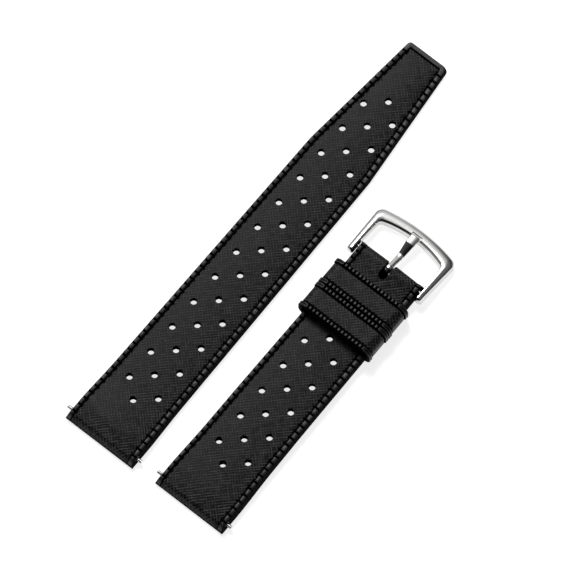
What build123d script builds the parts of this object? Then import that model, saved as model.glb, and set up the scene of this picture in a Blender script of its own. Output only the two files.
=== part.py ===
from build123d import *
from math import atan2, cos, degrees, pi, radians, sin
import os

os.makedirs("parts", exist_ok=True)

# Perforated rubber dive strap, both halves lying flat, outer face up.
# X runs across the straps, Y runs along them from the lug end, Z is up and the table is Z = 0.
# The origin lies on the table at the centre of the pair's footprint, halfway along the tail half.

# Shared fits
overrun = 2.0
running_gap = 0.04
seat_gap = 0.02
bore_gap = 0.03

# Watch case that the strap fits, and the way the two halves lie
lug_width = 20.0
pair_spacing = 25.59
short_shift = 0.61

# Rubber section shared by both halves
lug_half_width = 9.75
lug_straight = 4.5
lug_corner = 0.6
nose_height = 1.5
nose_shoulder_height = 2.85
nose_shoulder_setback = 0.9
nose_round = 1.2
crown_height = 3.25
crown_setback = 5.5
crown_round = 14.0
neck_setback = 13.5
neck_round = 30.0
side_flare = 0.35
strap_thickness = 2.2
bead_width = 1.05
groove_width = 0.36
groove_depth = 0.5
panel_drop = 0.3
notch_depth = 0.4
notch_gap = 0.45
notch_pitch = 1.84
lug_block = 1.87
lug_notch_pitch = 1.948
lug_notch_count = 10

# Perforations
hole_radius = 0.86
hole_sides = 10
hole_column = 4.2
first_hole = 12.35

# Tail half
tail_length = 119.8
tail_waist_half = 9.4
tail_waist_at = 18.0
tail_shoulder_half = 8.7
tail_shoulder_at = 87.0
tail_tip_half = 5.65
tail_tip_corner = 1.2
tail_neck_height = 2.45
tail_tip_height = 1.8
tail_middle_holes = 13
tail_tip_margin = 14.94
tail_tip_block = 2.7

# Short half
short_length = 73.9
short_waist_half = 9.42
short_waist_at = 18.0
short_end_half = 9.0
short_drop_start = 8.0
short_drop_end = 28.0
short_drop_round = 60.0
short_middle_holes = 6
short_end_block = 0.9
barrel_radius = 1.5
barrel_flat = 1.9
barrel_ramp = 4.0
barrel_ramp_round = 3.0
slot_width = 2.4
slot_length = 4.8
slot_through = 3.2
slot_web = 0.6

# Keepers
keeper_width = 6.9
keeper_wall = 0.9
keeper_side_gap = 0.25
keeper_floor_gap = 0.15
keeper_head_gap = 0.3
keeper_corner = 2.0
keeper_bead_width = 1.05
keeper_bead_rise = 0.3
keeper_foot = 0.15
keeper_notch_depth = 0.25
keeper_notch_pitch = 1.03
keeper_notch_gap = 0.42
keeper_blocks = 17
keeper_spacing = 0.3
keeper_to_pin = 5.9

# Spring bars
tube_radius = 0.75
tube_bore = 0.55
tube_lip = 0.35
head_length = 1.6
tube_end_inset = 0.12
tip_radius = 0.45
neck_radius = 0.29
lug_pin_length = 1.05
tip_travel = 1.0
lug_tip_reach = 0.7
lug_bar_inset = 2.2
lug_bar_height = 1.45
spring_radius = 0.38
spring_wire = 0.14
spring_turns = 4.5
spring_turn_points = 6
spring_end_gap = 0.06

# Buckle frame
arm_side_gap = 0.25
arm_tail = 2.2
arm_tail_half_width = 10.75
arm_straight = 3.0
frame_half_width = 11.25
frame_corner_at = 10.9
frame_front_at = 12.45
frame_outer_corner = 2.2
window_half_width = 8.85
window_corner_at = 7.9
window_front_at = 9.4
window_corner = 1.2
frame_half_thickness = 1.15
frame_lean = 6.0
frame_outer_round = 0.95
frame_inner_round = 0.35
arm_hole_depth = 0.8
arm_hole_gap = 0.08
rest_notch_depth = 0.3
rest_notch_width = 2.7
rest_notch_gap = 0.3

# Tongue
tongue_loop_wall = 0.55
tongue_root_half = 0.65
tongue_dip_half = 0.8
tongue_tip_half = 1.15
tongue_thickness = 0.8
tongue_dip_at = 4.2
tongue_dip_rise = 0.35
tongue_crest_at = 7.6
tongue_length = 10.2
tongue_bend_round = 2.2
tongue_tip_round = 0.7

# Places worked out from the sizes above
lug_tip_end = lug_width / 2 + lug_tip_reach
tail_x = (lug_tip_end - pair_spacing - frame_half_width) / 2
short_x = tail_x + pair_spacing
tail_y = -tail_length / 2
short_y = tail_y + short_shift
hole_pitch = (tail_length - first_hole - tail_tip_margin) / (tail_middle_holes - 1)
raise_height = keeper_wall + keeper_floor_gap
pin_y = short_y + short_length - barrel_radius
pin_z = raise_height + barrel_radius
bead_inset = side_flare + bead_width
panel_inset = bead_inset + groove_width / 2
flare_angle = degrees(atan2(side_flare, strap_thickness))
keeper_inner_half = short_end_half + keeper_side_gap
keeper_inner_height = strap_thickness + tail_tip_height + keeper_floor_gap + keeper_head_gap
cutter_height = crown_height + raise_height + 2 * barrel_radius + overrun
tail_stations = [
    (lug_straight, lug_half_width),
    (tail_waist_at, tail_waist_half),
    (tail_shoulder_at, tail_shoulder_half),
    (tail_length, tail_tip_half),
]
short_stations = [
    (lug_straight, lug_half_width),
    (short_waist_at, short_waist_half),
    (short_length, short_end_half),
]


# Plan outline of the tail half: parallel lug end, waisted blade, straight taper to the tip
def tail_plan(extension, inset):
    tip_corner = max(tail_tip_corner - inset, groove_width)
    with BuildSketch(Plane((tail_x, tail_y, 0))) as plan:
        with BuildLine():
            Polyline(
                (0, -extension),
                (lug_half_width - inset, -extension),
                (lug_half_width - inset, lug_straight),
            )
            TangentArc(
                (tail_waist_half - inset, tail_waist_at),
                (lug_half_width - inset, lug_straight),
                tangent=(tail_waist_half - tail_shoulder_half, tail_waist_at - tail_shoulder_at),
            )
            Polyline(
                (tail_waist_half - inset, tail_waist_at),
                (tail_shoulder_half - inset, tail_shoulder_at),
                (tail_tip_half - inset, tail_length - inset),
                (0, tail_length - inset),
            )
            mirror(about=Plane.YZ)
        make_face()
        fillet(plan.vertices().group_by(Axis.Y)[-1], tip_corner)
    return plan.sketch


# Plan outline of the short half: parallel lug end, then a gentle taper to the buckle end
def short_plan(extension, inset):
    with BuildSketch(Plane((short_x, short_y, 0))) as plan:
        with BuildLine():
            Polyline(
                (0, -extension),
                (lug_half_width - inset, -extension),
                (lug_half_width - inset, lug_straight),
            )
            TangentArc(
                (short_waist_half - inset, short_waist_at),
                (lug_half_width - inset, lug_straight),
                tangent=(short_waist_half - short_end_half, short_waist_at - short_length),
            )
            Polyline(
                (short_waist_half - inset, short_waist_at),
                (short_end_half - inset, short_length),
                (short_end_half - inset, short_length + extension),
                (0, short_length + extension),
            )
            mirror(about=Plane.YZ)
        make_face()
    return plan.sketch


# Side outline of the tail half, its top lowered by a drop and its underside raised by a rise
def tail_side(drop, rise):
    with BuildSketch(Plane((tail_x, tail_y, 0), x_dir=(0, 1, 0), z_dir=(1, 0, 0))) as side:
        with BuildLine():
            top = FilletPolyline(
                (0, nose_height - drop),
                (nose_shoulder_setback, nose_shoulder_height - drop),
                (crown_setback, crown_height - drop),
                (neck_setback, tail_neck_height - drop),
                (tail_length, tail_tip_height - drop),
                radius=(nose_round, crown_round, neck_round),
            )
            Polyline(top @ 1, (tail_length, rise), (0, rise), top @ 0)
        make_face()
    return side.sketch


# Side outline of the short half: it climbs from the table onto the keepers and ends in a barrel
def short_side(drop, rise):
    blade_top = raise_height + strap_thickness
    barrel_top = raise_height + 2 * barrel_radius
    end_round = barrel_radius - seat_gap
    with BuildSketch(Plane((short_x, short_y, 0), x_dir=(0, 1, 0), z_dir=(1, 0, 0))) as side:
        with BuildLine():
            top = FilletPolyline(
                (0, nose_height - drop),
                (nose_shoulder_setback, nose_shoulder_height - drop),
                (crown_setback, crown_height - drop),
                (short_length - barrel_flat - barrel_radius - barrel_ramp, blade_top - drop),
                (short_length - barrel_flat, barrel_top - drop),
                (short_length, barrel_top - drop),
                (short_length, pin_z - drop),
                radius=(nose_round, crown_round, barrel_ramp_round, barrel_ramp_round, end_round),
            )
            under = FilletPolyline(
                (short_length, pin_z - drop),
                (short_length, raise_height + rise),
                (short_drop_end, raise_height + rise),
                (short_drop_start, rise),
                (0, rise),
                radius=(barrel_radius - max(drop, rise) - seat_gap, short_drop_round, short_drop_round),
            )
            Line(under @ 1, top @ 0)
        make_face()
    return side.sketch


# Half width of a strap at a place along it
def half_width_at(place, stations):
    for (low, low_half), (high, high_half) in zip(stations, stations[1:]):
        if place <= high:
            return low_half + (high_half - low_half) * max(place - low, 0) / (high - low)
    return stations[-1][1]


# Places of the cross cuts along a half, a little further apart over the thick lug end
def notch_places(last_place):
    places = [lug_block + index * lug_notch_pitch for index in range(lug_notch_count)]
    blade_start = places[-1]
    blade_count = int((last_place - blade_start) / notch_pitch)
    return places + [blade_start + (index + 1) * notch_pitch for index in range(blade_count)]


# Plan of the cross cuts that divide both edge beads into blocks
def notch_plan(strap_x, strap_y, stations, last_place):
    notch_reach = panel_inset + overrun
    with BuildSketch(Plane((strap_x, strap_y, 0))) as plan:
        for place in notch_places(last_place):
            half = half_width_at(place, stations)
            step = half_width_at(place + notch_pitch, stations) - half
            turn = degrees(atan2(step, notch_pitch))
            for side in (-1, 1):
                with Locations((side * (half - panel_inset + notch_reach / 2), place)):
                    Rectangle(notch_reach, notch_gap, rotation=-side * turn)
    return plan.sketch


# Everything above (or outside) a side outline, within a plan: the tool that sinks panel, groove or notch
def sinking_tool(plan, side):
    with BuildPart() as tool:
        extrude(to_extrude=plan, amount=cutter_height)
        extrude(to_extrude=side, amount=2 * lug_half_width, both=True, mode=Mode.SUBTRACT)
    return tool.part


# Three staggered columns of perforations
def perforation_places(strap_x, strap_y, middle_count):
    places = []
    for index in range(2 * middle_count - 1):
        y = strap_y + first_hole + index * hole_pitch / 2
        if index % 2 == 0:
            places.append((strap_x, y))
        else:
            places.append((strap_x - hole_column, y))
            places.append((strap_x + hole_column, y))
    return places


def groove_plan(plan_of, extension):
    with BuildSketch() as ring:
        add(plan_of(extension, bead_inset))
        add(plan_of(extension, bead_inset + groove_width), mode=Mode.SUBTRACT)
    return ring.sketch


# Tail half
with BuildPart() as tail_strap:
    extrude(to_extrude=tail_plan(overrun, 0), amount=cutter_height, taper=flare_angle)
    extrude(to_extrude=tail_side(0, 0), amount=2 * lug_half_width, both=True, mode=Mode.INTERSECT)
    lug_edges = tail_strap.edges().group_by(Axis.Y)[0].sort_by(Axis.X)
    fillet([lug_edges[0], lug_edges[-1]], lug_corner)
    add(sinking_tool(tail_plan(overrun, panel_inset), tail_side(panel_drop, 0)), mode=Mode.SUBTRACT)
    add(sinking_tool(groove_plan(tail_plan, overrun), tail_side(groove_depth, 0)), mode=Mode.SUBTRACT)
    add(
        sinking_tool(
            notch_plan(tail_x, tail_y, tail_stations, tail_length - tail_tip_block),
            tail_side(notch_depth, 0),
        ),
        mode=Mode.SUBTRACT,
    )
    with BuildSketch(Plane.XY):
        with Locations(*perforation_places(tail_x, tail_y, tail_middle_holes)):
            RegularPolygon(hole_radius, hole_sides)
    extrude(amount=cutter_height, mode=Mode.SUBTRACT)
    with BuildSketch(Plane((tail_x, tail_y, 0), x_dir=(0, 1, 0), z_dir=(1, 0, 0))):
        with Locations((lug_bar_inset, lug_bar_height)):
            Circle(tube_radius + bore_gap)
    extrude(amount=2 * lug_half_width, both=True, mode=Mode.SUBTRACT)
tail_strap.part.label = "tail_strap"
export_step(tail_strap.part, "parts/tail_strap.step")

# Short half
with BuildPart() as buckle_strap:
    extrude(to_extrude=short_plan(overrun, 0), amount=cutter_height, taper=flare_angle)
    extrude(to_extrude=short_side(0, 0), amount=2 * lug_half_width, both=True, mode=Mode.INTERSECT)
    lug_edges = buckle_strap.edges().group_by(Axis.Y)[0].sort_by(Axis.X)
    fillet([lug_edges[0], lug_edges[-1]], lug_corner)
    add(sinking_tool(short_plan(overrun, panel_inset), short_side(panel_drop, 0)), mode=Mode.SUBTRACT)
    add(sinking_tool(groove_plan(short_plan, overrun), short_side(groove_depth, 0)), mode=Mode.SUBTRACT)
    add(
        sinking_tool(
            notch_plan(short_x, short_y, short_stations, short_length - short_end_block),
            short_side(notch_depth, 0),
        ),
        mode=Mode.SUBTRACT,
    )
    with BuildSketch(Plane.XY):
        with Locations(*perforation_places(short_x, short_y, short_middle_holes)):
            RegularPolygon(hole_radius, hole_sides)
    extrude(amount=cutter_height, mode=Mode.SUBTRACT)
    with BuildSketch(Plane((short_x, short_y, 0), x_dir=(0, 1, 0), z_dir=(1, 0, 0))):
        with Locations((lug_bar_inset, lug_bar_height)):
            Circle(tube_radius + bore_gap)
        with Locations((short_length - barrel_radius, pin_z)):
            Circle(tube_radius + bore_gap)
    extrude(amount=2 * lug_half_width, both=True, mode=Mode.SUBTRACT)
    with BuildSketch(Plane((short_x, short_y + short_length, raise_height + slot_web))):
        SlotOverall(2 * slot_length, slot_width, rotation=90)
    extrude(amount=cutter_height, mode=Mode.SUBTRACT)
    with BuildSketch(Plane((short_x, short_y + short_length, 0))):
        Rectangle(slot_width, 2 * slot_through)
    extrude(amount=cutter_height, mode=Mode.SUBTRACT)
buckle_strap.part.label = "buckle_strap"
export_step(buckle_strap.part, "parts/buckle_strap.step")


# Rubber keeper loop with a notched bead at each mouth, from a given place along the strap
def keeper_loop(start_y):
    body_half = keeper_inner_half + keeper_wall
    body_height = keeper_inner_height + 2 * keeper_wall - keeper_foot
    bead_height = keeper_foot + body_height + keeper_bead_rise
    bead_half = body_half + keeper_bead_rise
    mouth = Plane((short_x, start_y, 0), x_dir=(1, 0, 0), z_dir=(0, -1, 0))
    far_bead = Plane(
        (short_x, start_y + keeper_width - keeper_bead_width, 0), x_dir=(1, 0, 0), z_dir=(0, -1, 0)
    )
    with BuildPart() as loop:
        with BuildSketch(mouth):
            with Locations((0, keeper_foot + body_height / 2)):
                RectangleRounded(2 * body_half, body_height, keeper_corner)
        extrude(amount=-keeper_width)
        with BuildSketch(mouth, far_bead):
            with Locations((0, bead_height / 2)):
                RectangleRounded(2 * bead_half, bead_height, keeper_corner + keeper_bead_rise)
        extrude(amount=-keeper_bead_width)
        notch_floor = bead_height - keeper_notch_depth
        with BuildSketch(Plane((short_x, start_y + keeper_width / 2, notch_floor))):
            with GridLocations(
                keeper_notch_pitch, keeper_width - keeper_bead_width, keeper_blocks + 1, 2
            ):
                Rectangle(keeper_notch_gap, keeper_bead_width)
        extrude(amount=overrun, mode=Mode.SUBTRACT)
        with BuildSketch(mouth):
            with Locations((0, keeper_wall + keeper_inner_height / 2)):
                Rectangle(2 * keeper_inner_half, keeper_inner_height)
        extrude(amount=-keeper_width, mode=Mode.SUBTRACT)
    return loop.part


# Two loose keepers, one behind the other
near_keeper_y = pin_y - keeper_to_pin - keeper_width
far_keeper_y = near_keeper_y - keeper_spacing - keeper_width

keeper_buckle_side = keeper_loop(near_keeper_y)
keeper_buckle_side.label = "keeper_buckle_side"
export_step(keeper_buckle_side, "parts/keeper_buckle_side.step")

keeper_lug_side = keeper_loop(far_keeper_y)
keeper_lug_side.label = "keeper_lug_side"
export_step(keeper_lug_side, "parts/keeper_lug_side.step")


# Spring bar tube, rolled inwards at both ends to hold the two tips
def bar_tube(centre, half_length):
    with BuildPart() as tube:
        with BuildSketch(Plane(centre, x_dir=(1, 0, 0), z_dir=(0, -1, 0))):
            with BuildLine():
                Polyline(
                    (-half_length, tube_radius),
                    (-half_length, tip_radius + running_gap),
                    (tube_lip - half_length, tube_bore),
                    (half_length - tube_lip, tube_bore),
                    (half_length, tip_radius + running_gap),
                    (half_length, tube_radius),
                    close=True,
                )
            make_face()
        revolve(axis=Axis(centre, (1, 0, 0)))
    return tube.part


# Sprung tip: a head inside the tube, a slightly slimmer neck where one is wanted, and the pin
def bar_tip(centre, tube_half, pin_start, tip_end, side):
    head_outer = tube_half - tube_lip - seat_gap
    outline = [
        (side * (head_outer - head_length), 0),
        (side * (head_outer - head_length), tube_bore - running_gap),
        (side * head_outer, tube_bore - running_gap),
    ]
    if pin_start > head_outer:
        outline += [(side * head_outer, neck_radius), (side * pin_start, neck_radius)]
    outline += [
        (side * max(pin_start, head_outer), tip_radius),
        (side * tip_end, tip_radius),
        (side * tip_end, 0),
    ]
    with BuildPart() as tip:
        with BuildSketch(Plane(centre, x_dir=(1, 0, 0), z_dir=(0, -1, 0))):
            with BuildLine():
                Polyline(*outline, close=True)
            make_face()
        revolve(axis=Axis(centre, (1, 0, 0)))
    return tip.part


# Square-wire coil spring between the two heads, each turn in short straight runs
def bar_spring(centre, tube_half):
    half = tube_half - tube_lip - seat_gap - head_length - spring_end_gap - spring_wire
    pitch = 2 * half / spring_turns
    run_count = round(spring_turns * spring_turn_points)
    points = []
    for index in range(run_count + 1):
        angle = 2 * pi * index / spring_turn_points
        points.append(
            (
                centre[0] - half + pitch * index / spring_turn_points,
                centre[1] + spring_radius * cos(angle),
                centre[2] + spring_radius * sin(angle),
            )
        )
    with BuildPart() as spring:
        with BuildLine() as coil:
            Polyline(*points)
        with BuildSketch(Plane(coil.line @ 0, z_dir=coil.line % 0)):
            Rectangle(spring_wire, spring_wire)
        sweep(transition=Transition.RIGHT)
    print("spring least gap to itself", round(pitch - spring_wire, 3))
    return spring.part


# The three spring bars: one in each lug end, one through the buckle barrel
def write_bar(name, centre, tube_half, pin_start, tip_end):
    tube = bar_tube(centre, tube_half)
    tube.label = name + "_tube"
    export_step(tube, "parts/" + name + "_tube.step")
    for side, word in ((-1, "left"), (1, "right")):
        tip = bar_tip(centre, tube_half, pin_start, tip_end, side)
        tip.label = name + "_tip_" + word
        export_step(tip, "parts/" + name + "_tip_" + word + ".step")
    spring = bar_spring(centre, tube_half)
    spring.label = name + "_spring"
    export_step(spring, "parts/" + name + "_spring.step")


lug_tube_half = lug_half_width - side_flare * lug_bar_height / strap_thickness - tube_end_inset
arm_inner_half = short_end_half + arm_side_gap
buckle_tube_half = short_end_half - side_flare - tube_end_inset
buckle_tip_end = arm_inner_half + arm_hole_depth - arm_hole_gap
tail_bar_centre = (tail_x, tail_y + lug_bar_inset, lug_bar_height)
short_bar_centre = (short_x, short_y + lug_bar_inset, lug_bar_height)
pin_centre = (short_x, pin_y, pin_z)
write_bar("tail_bar", tail_bar_centre, lug_tube_half, lug_tip_end - lug_pin_length, lug_tip_end)
write_bar("short_bar", short_bar_centre, lug_tube_half, lug_tip_end - lug_pin_length, lug_tip_end)
write_bar("buckle_bar", pin_centre, buckle_tube_half, 0, buckle_tip_end)


# Which side of the middle of the frame bars a place in the frame plane lies on
def is_outer(place):
    beyond_arms = abs(place.X) > arm_inner_half + (arm_tail_half_width - arm_inner_half) / 2 + running_gap
    return beyond_arms or place.Y > window_front_at + frame_outer_round


def is_inner(place):
    return abs(place.X) < arm_inner_half + running_gap and place.Y < window_front_at + frame_outer_round


def is_window_corner(corner):
    return abs(corner.Y - window_corner_at) < running_gap


# Buckle frame: two arms and a bowed front bar, leaning from the pin down to the table
frame_up = (0, sin(radians(frame_lean)), cos(radians(frame_lean)))
frame_plane = Plane(pin_centre, x_dir=(1, 0, 0), z_dir=frame_up)
with BuildPart() as buckle_frame:
    with BuildSketch(frame_plane) as frame_plan:
        with BuildLine():
            Polyline(
                (arm_inner_half, arm_straight),
                (arm_inner_half, -arm_tail),
                (arm_tail_half_width, -arm_tail),
                (frame_half_width, frame_corner_at),
            )
            ThreePointArc(
                (frame_half_width, frame_corner_at),
                (0, frame_front_at),
                (-frame_half_width, frame_corner_at),
            )
            Polyline(
                (-frame_half_width, frame_corner_at),
                (-arm_tail_half_width, -arm_tail),
                (-arm_inner_half, -arm_tail),
                (-arm_inner_half, arm_straight),
                (-window_half_width, window_corner_at),
            )
            ThreePointArc(
                (-window_half_width, window_corner_at),
                (0, window_front_at),
                (window_half_width, window_corner_at),
            )
            Line((window_half_width, window_corner_at), (arm_inner_half, arm_straight))
        make_face()
        fillet(frame_plan.vertices().group_by(Axis.Y)[-1], frame_outer_corner)
        fillet([corner for corner in frame_plan.vertices() if is_window_corner(corner)], window_corner)
    extrude(amount=frame_half_thickness, both=True)
    upper_edges = buckle_frame.faces().sort_by(Axis(pin_centre, frame_up))[-1].edges()
    outer_edges = upper_edges.filter_by(lambda edge: is_outer(frame_plane.to_local_coords(edge @ 0.5)))
    fillet(outer_edges, frame_outer_round)
    upper_edges = buckle_frame.faces().sort_by(Axis(pin_centre, frame_up))[-1].edges()
    inner_edges = upper_edges.filter_by(lambda edge: is_inner(frame_plane.to_local_coords(edge @ 0.5)))
    chamfer(inner_edges, frame_inner_round)
    for side in (-1, 1):
        arm_face = short_x + side * (arm_inner_half - tip_travel)
        with BuildSketch(Plane((arm_face, pin_y, pin_z), x_dir=(0, 1, 0), z_dir=(side, 0, 0))):
            Circle(tip_radius + running_gap)
        extrude(amount=tip_travel + arm_hole_depth, mode=Mode.SUBTRACT)
    with BuildSketch(frame_plane.offset(frame_half_thickness - rest_notch_depth)):
        with Locations((0, tongue_length + rest_notch_gap)):
            Rectangle(rest_notch_width, tongue_length, align=(Align.CENTER, Align.MAX))
    extrude(amount=cutter_height, mode=Mode.SUBTRACT)
buckle_frame.part.label = "buckle_frame"
export_step(buckle_frame.part, "parts/buckle_frame.step")

# Tongue: a loop round the bar tube, a blade that dips, then climbs onto the front bar
with BuildPart() as buckle_tongue:
    loop_radius = tube_radius + running_gap + tongue_loop_wall
    tip_base = frame_half_thickness - rest_notch_depth + seat_gap
    with BuildSketch(Plane(pin_centre, x_dir=frame_plane.y_dir, z_dir=(1, 0, 0))):
        with BuildLine():
            upper = FilletPolyline(
                (0, loop_radius),
                (tongue_dip_at, tongue_dip_rise),
                (tongue_crest_at, tip_base + tongue_thickness),
                (tongue_length, tip_base + tongue_thickness),
                (tongue_length, tip_base),
                radius=(tongue_bend_round, tongue_bend_round, tongue_tip_round),
            )
            lower = FilletPolyline(
                (0, loop_radius - tongue_thickness),
                (tongue_dip_at, tongue_dip_rise - tongue_thickness),
                (tongue_crest_at, tip_base),
                (tongue_length, tip_base),
                radius=(tongue_bend_round, tongue_bend_round),
            )
            Line(lower @ 0, upper @ 0)
        make_face()
        Circle(loop_radius)
        Circle(tube_radius + running_gap, mode=Mode.SUBTRACT)
    extrude(amount=tongue_tip_half, both=True)
    with BuildSketch(frame_plane.offset(-cutter_height / 2)) as tongue_plan:
        with BuildLine():
            Polyline(
                (0, -loop_radius),
                (tongue_root_half, -loop_radius),
                (tongue_root_half, 0),
                (tongue_dip_half, tongue_dip_at),
                (tongue_tip_half, tongue_crest_at),
                (tongue_tip_half, tongue_length),
                (0, tongue_length),
            )
            mirror(about=Plane.YZ)
        make_face()
        fillet(tongue_plan.vertices().group_by(Axis.Y)[-1], tongue_tip_round)
    extrude(amount=cutter_height, mode=Mode.INTERSECT)
buckle_tongue.part.label = "buckle_tongue"
export_step(buckle_tongue.part, "parts/buckle_tongue.step")
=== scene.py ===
"""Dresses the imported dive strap: rubber halves and keepers, steel buckle and bars.

It also sets up the camera, the light and the ground of the photograph. Sizes are in millimetres
unless their line says otherwise, and mesh_piece makes metres of them.
"""

import logging
import math
from dataclasses import dataclass, field
from enum import Enum
from typing import Iterable, Sequence

import bmesh
import bpy
import numpy as np
from mathutils import Matrix, Vector
from mathutils.geometry import delaunay_2d_cdt


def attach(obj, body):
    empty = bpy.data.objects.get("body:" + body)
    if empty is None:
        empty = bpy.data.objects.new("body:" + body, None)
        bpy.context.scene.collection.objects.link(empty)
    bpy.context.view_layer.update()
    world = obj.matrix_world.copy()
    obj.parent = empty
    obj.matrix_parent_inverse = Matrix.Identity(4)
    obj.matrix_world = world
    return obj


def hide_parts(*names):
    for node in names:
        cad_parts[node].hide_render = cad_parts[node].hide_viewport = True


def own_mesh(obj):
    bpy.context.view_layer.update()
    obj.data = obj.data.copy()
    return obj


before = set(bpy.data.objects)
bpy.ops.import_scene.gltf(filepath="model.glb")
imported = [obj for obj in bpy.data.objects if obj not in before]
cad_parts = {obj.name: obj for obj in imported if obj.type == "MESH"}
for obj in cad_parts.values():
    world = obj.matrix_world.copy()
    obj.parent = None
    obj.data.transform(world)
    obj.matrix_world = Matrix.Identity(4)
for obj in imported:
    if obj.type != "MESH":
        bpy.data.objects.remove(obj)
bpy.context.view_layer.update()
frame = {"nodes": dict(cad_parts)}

MM = 0.001
SOFT_SHARE = 0.3  # where a soft edge has its middle point, as a share of the edge's width
BUCKLE_PIN = (12.52, 13.11, 2.55)
KEEPER_REACH = 5.9  # from the buckle's pin to the nearest keeper
KEEPER_GAP = 0.3
BAR_BORE = 0.78
LOG = logging.getLogger("dive_strap")

Point2 = tuple[float, float]
Point3 = tuple[float, float, float]


class Side(Enum):
    """Which long edge of a strap half, seen from above with the lug end nearest."""

    LEFT = -1
    RIGHT = 1


class Zone(Enum):
    """Which rubber a face shows, in a rubber piece's order of materials; hollows and sides show painted
    shade.
    """

    WOVEN = 0
    BEAD = 1
    HOLLOW = 2
    SIDE = 3


class Polish(Enum):
    """How a steel surface was finished."""

    MIRROR = "mirror"
    SATIN = "satin"
    DRAWN = "drawn"


# ---------------------------------------------------------------- mesh helpers


def mesh_piece(
    name: str,
    points: Sequence[Point3],
    faces: Sequence[Sequence[int]],
    sharp: float = 38.0,
    zones: Sequence[int] | None = None,
) -> bpy.types.Object:
    """Makes a smooth-shaded mesh object from points in millimetres.

    Args:
        name: Name of the piece.
        points: Corners in millimetres, in the row frame.
        faces: Corner numbers of each face.
        sharp: Edges that bend more than this many degrees stay sharp.
        zones: Which of the piece's finishes each face has.

    Returns:
        The new object, linked to the scene.
    """
    mesh = bpy.data.meshes.new(name)
    mesh.from_pydata([(x * MM, y * MM, z * MM) for x, y, z in points], [], [list(f) for f in faces])
    mesh.update()
    if zones is not None:
        for _ in range(max(zones) + 1):
            mesh.materials.append(None)
        mesh.polygons.foreach_set("material_index", list(zones))
    work = bmesh.new()
    work.from_mesh(mesh)
    bmesh.ops.remove_doubles(work, verts=work.verts, dist=1e-8)
    bmesh.ops.recalc_face_normals(work, faces=work.faces)
    work.to_mesh(mesh)
    work.free()
    mesh.polygons.foreach_set("use_smooth", [True] * len(mesh.polygons))
    mesh.set_sharp_from_angle(angle=math.radians(sharp))
    made = bpy.data.objects.new(name, mesh)
    bpy.context.scene.collection.objects.link(made)
    return made


def rounded_path(
    corners: Sequence[Point2],
    radii: Sequence[float],
    arc_steps: int = 8,
) -> list[Point2]:
    """Runs along corners with the inner corners rounded.

    Args:
        corners: Corner places of the open run.
        radii: One radius for each inner corner.
        arc_steps: Steps in each rounding.

    Returns:
        The places along the rounded run.
    """
    path: list[Point2] = [corners[0]]
    for before, here, after, radius in zip(corners, corners[1:], corners[2:], radii):
        b, h, a = Vector(before), Vector(here), Vector(after)
        into, out = (h - b).normalized(), (a - h).normalized()
        turn = into.angle(out)
        if turn < 1e-4 or radius <= 0:
            path.append(here)
            continue
        reach = radius * math.tan(turn / 2)
        start, end = h - into * reach, h + out * reach
        bisector = (out - into).normalized()
        centre = h + bisector * (radius / math.cos(turn / 2))
        first, last = start - centre, end - centre
        for step in range(arc_steps + 1):
            share = step / arc_steps
            spoke = first * math.sin((1 - share) * turn) + last * math.sin(share * turn)
            spoke = spoke / math.sin(turn)
            path.append((centre.x + spoke.x, centre.y + spoke.y))
    path.append(corners[-1])
    return path


def strip_faces(rows: int, columns: int, closed: bool = False) -> list[tuple[int, int, int, int]]:
    """Faces of a grid of points given row by row.

    Args:
        rows: How many rows.
        columns: How many points in each row.
        closed: Whether each row's last point joins its first.

    Returns:
        The four corner numbers of each face.
    """
    faces = []
    last = columns if closed else columns - 1
    for row in range(rows - 1):
        for column in range(last):
            beside = (column + 1) % columns
            here, ahead = row * columns, (row + 1) * columns
            faces.append((here + column, here + beside, ahead + beside, ahead + column))
    return faces


def tube_faces(rows: int, columns: int) -> list[Sequence[int]]:
    """Faces of a run of closed sections with a flat cap at each end."""
    faces: list[Sequence[int]] = list(strip_faces(rows, columns, True))
    start, end = (rows - 1) * columns, rows * columns
    return faces + [tuple(range(columns)), tuple(reversed(range(start, end)))]


def ring_faces(rows: int, columns: int) -> list[Sequence[int]]:
    """Faces of a run of closed sections whose last section joins the first.

    Args:
        rows: How many sections.
        columns: How many points in each section.

    Returns:
        The four corner numbers of each face.
    """
    last = (rows - 1) * columns
    faces: list[Sequence[int]] = list(strip_faces(rows, columns, True))
    for column in range(columns):
        beside = (column + 1) % columns
        faces.append((last + column, last + beside, beside, column))
    return faces


def spaced(path: Sequence[Point2], places: Sequence[float]) -> list[Point2]:
    """Picks points along a path.

    Args:
        path: Points of the path.
        places: Distances from its start, each as a share of its length.

    Returns:
        One point for each distance.
    """
    run = np.array(path)
    lengths = np.concatenate([[0.0], np.cumsum(np.hypot(*np.diff(run, axis=0).T))])
    at = np.array(places) * lengths[-1]
    across, along = np.interp(at, lengths, run[:, 0]), np.interp(at, lengths, run[:, 1])
    return [(float(x), float(y)) for x, y in zip(across, along)]


def circle(middle: Point2, radius: float, steps: int) -> list[Point2]:
    """Places in even steps round a circle.

    Args:
        middle: Middle of the circle.
        radius: Its radius.
        steps: How many places.

    Returns:
        The places in order.
    """
    across, along = middle
    turns = np.linspace(0, 2 * math.pi, steps, endpoint=False)
    places = [(across + radius * math.cos(t), along + radius * math.sin(t)) for t in turns]
    return [(float(x), float(y)) for x, y in places]


def half_turn(radius: float, floor: float, steps: int = 16) -> list[Point2]:
    """Places round the rear of the slot, whose middle lies at a floor along the half."""
    turns = np.linspace(0, math.pi, steps + 1)
    return [(radius * math.cos(turn), floor - radius * math.sin(turn)) for turn in turns]


# ------------------------------------------------------------------- finishes


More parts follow.
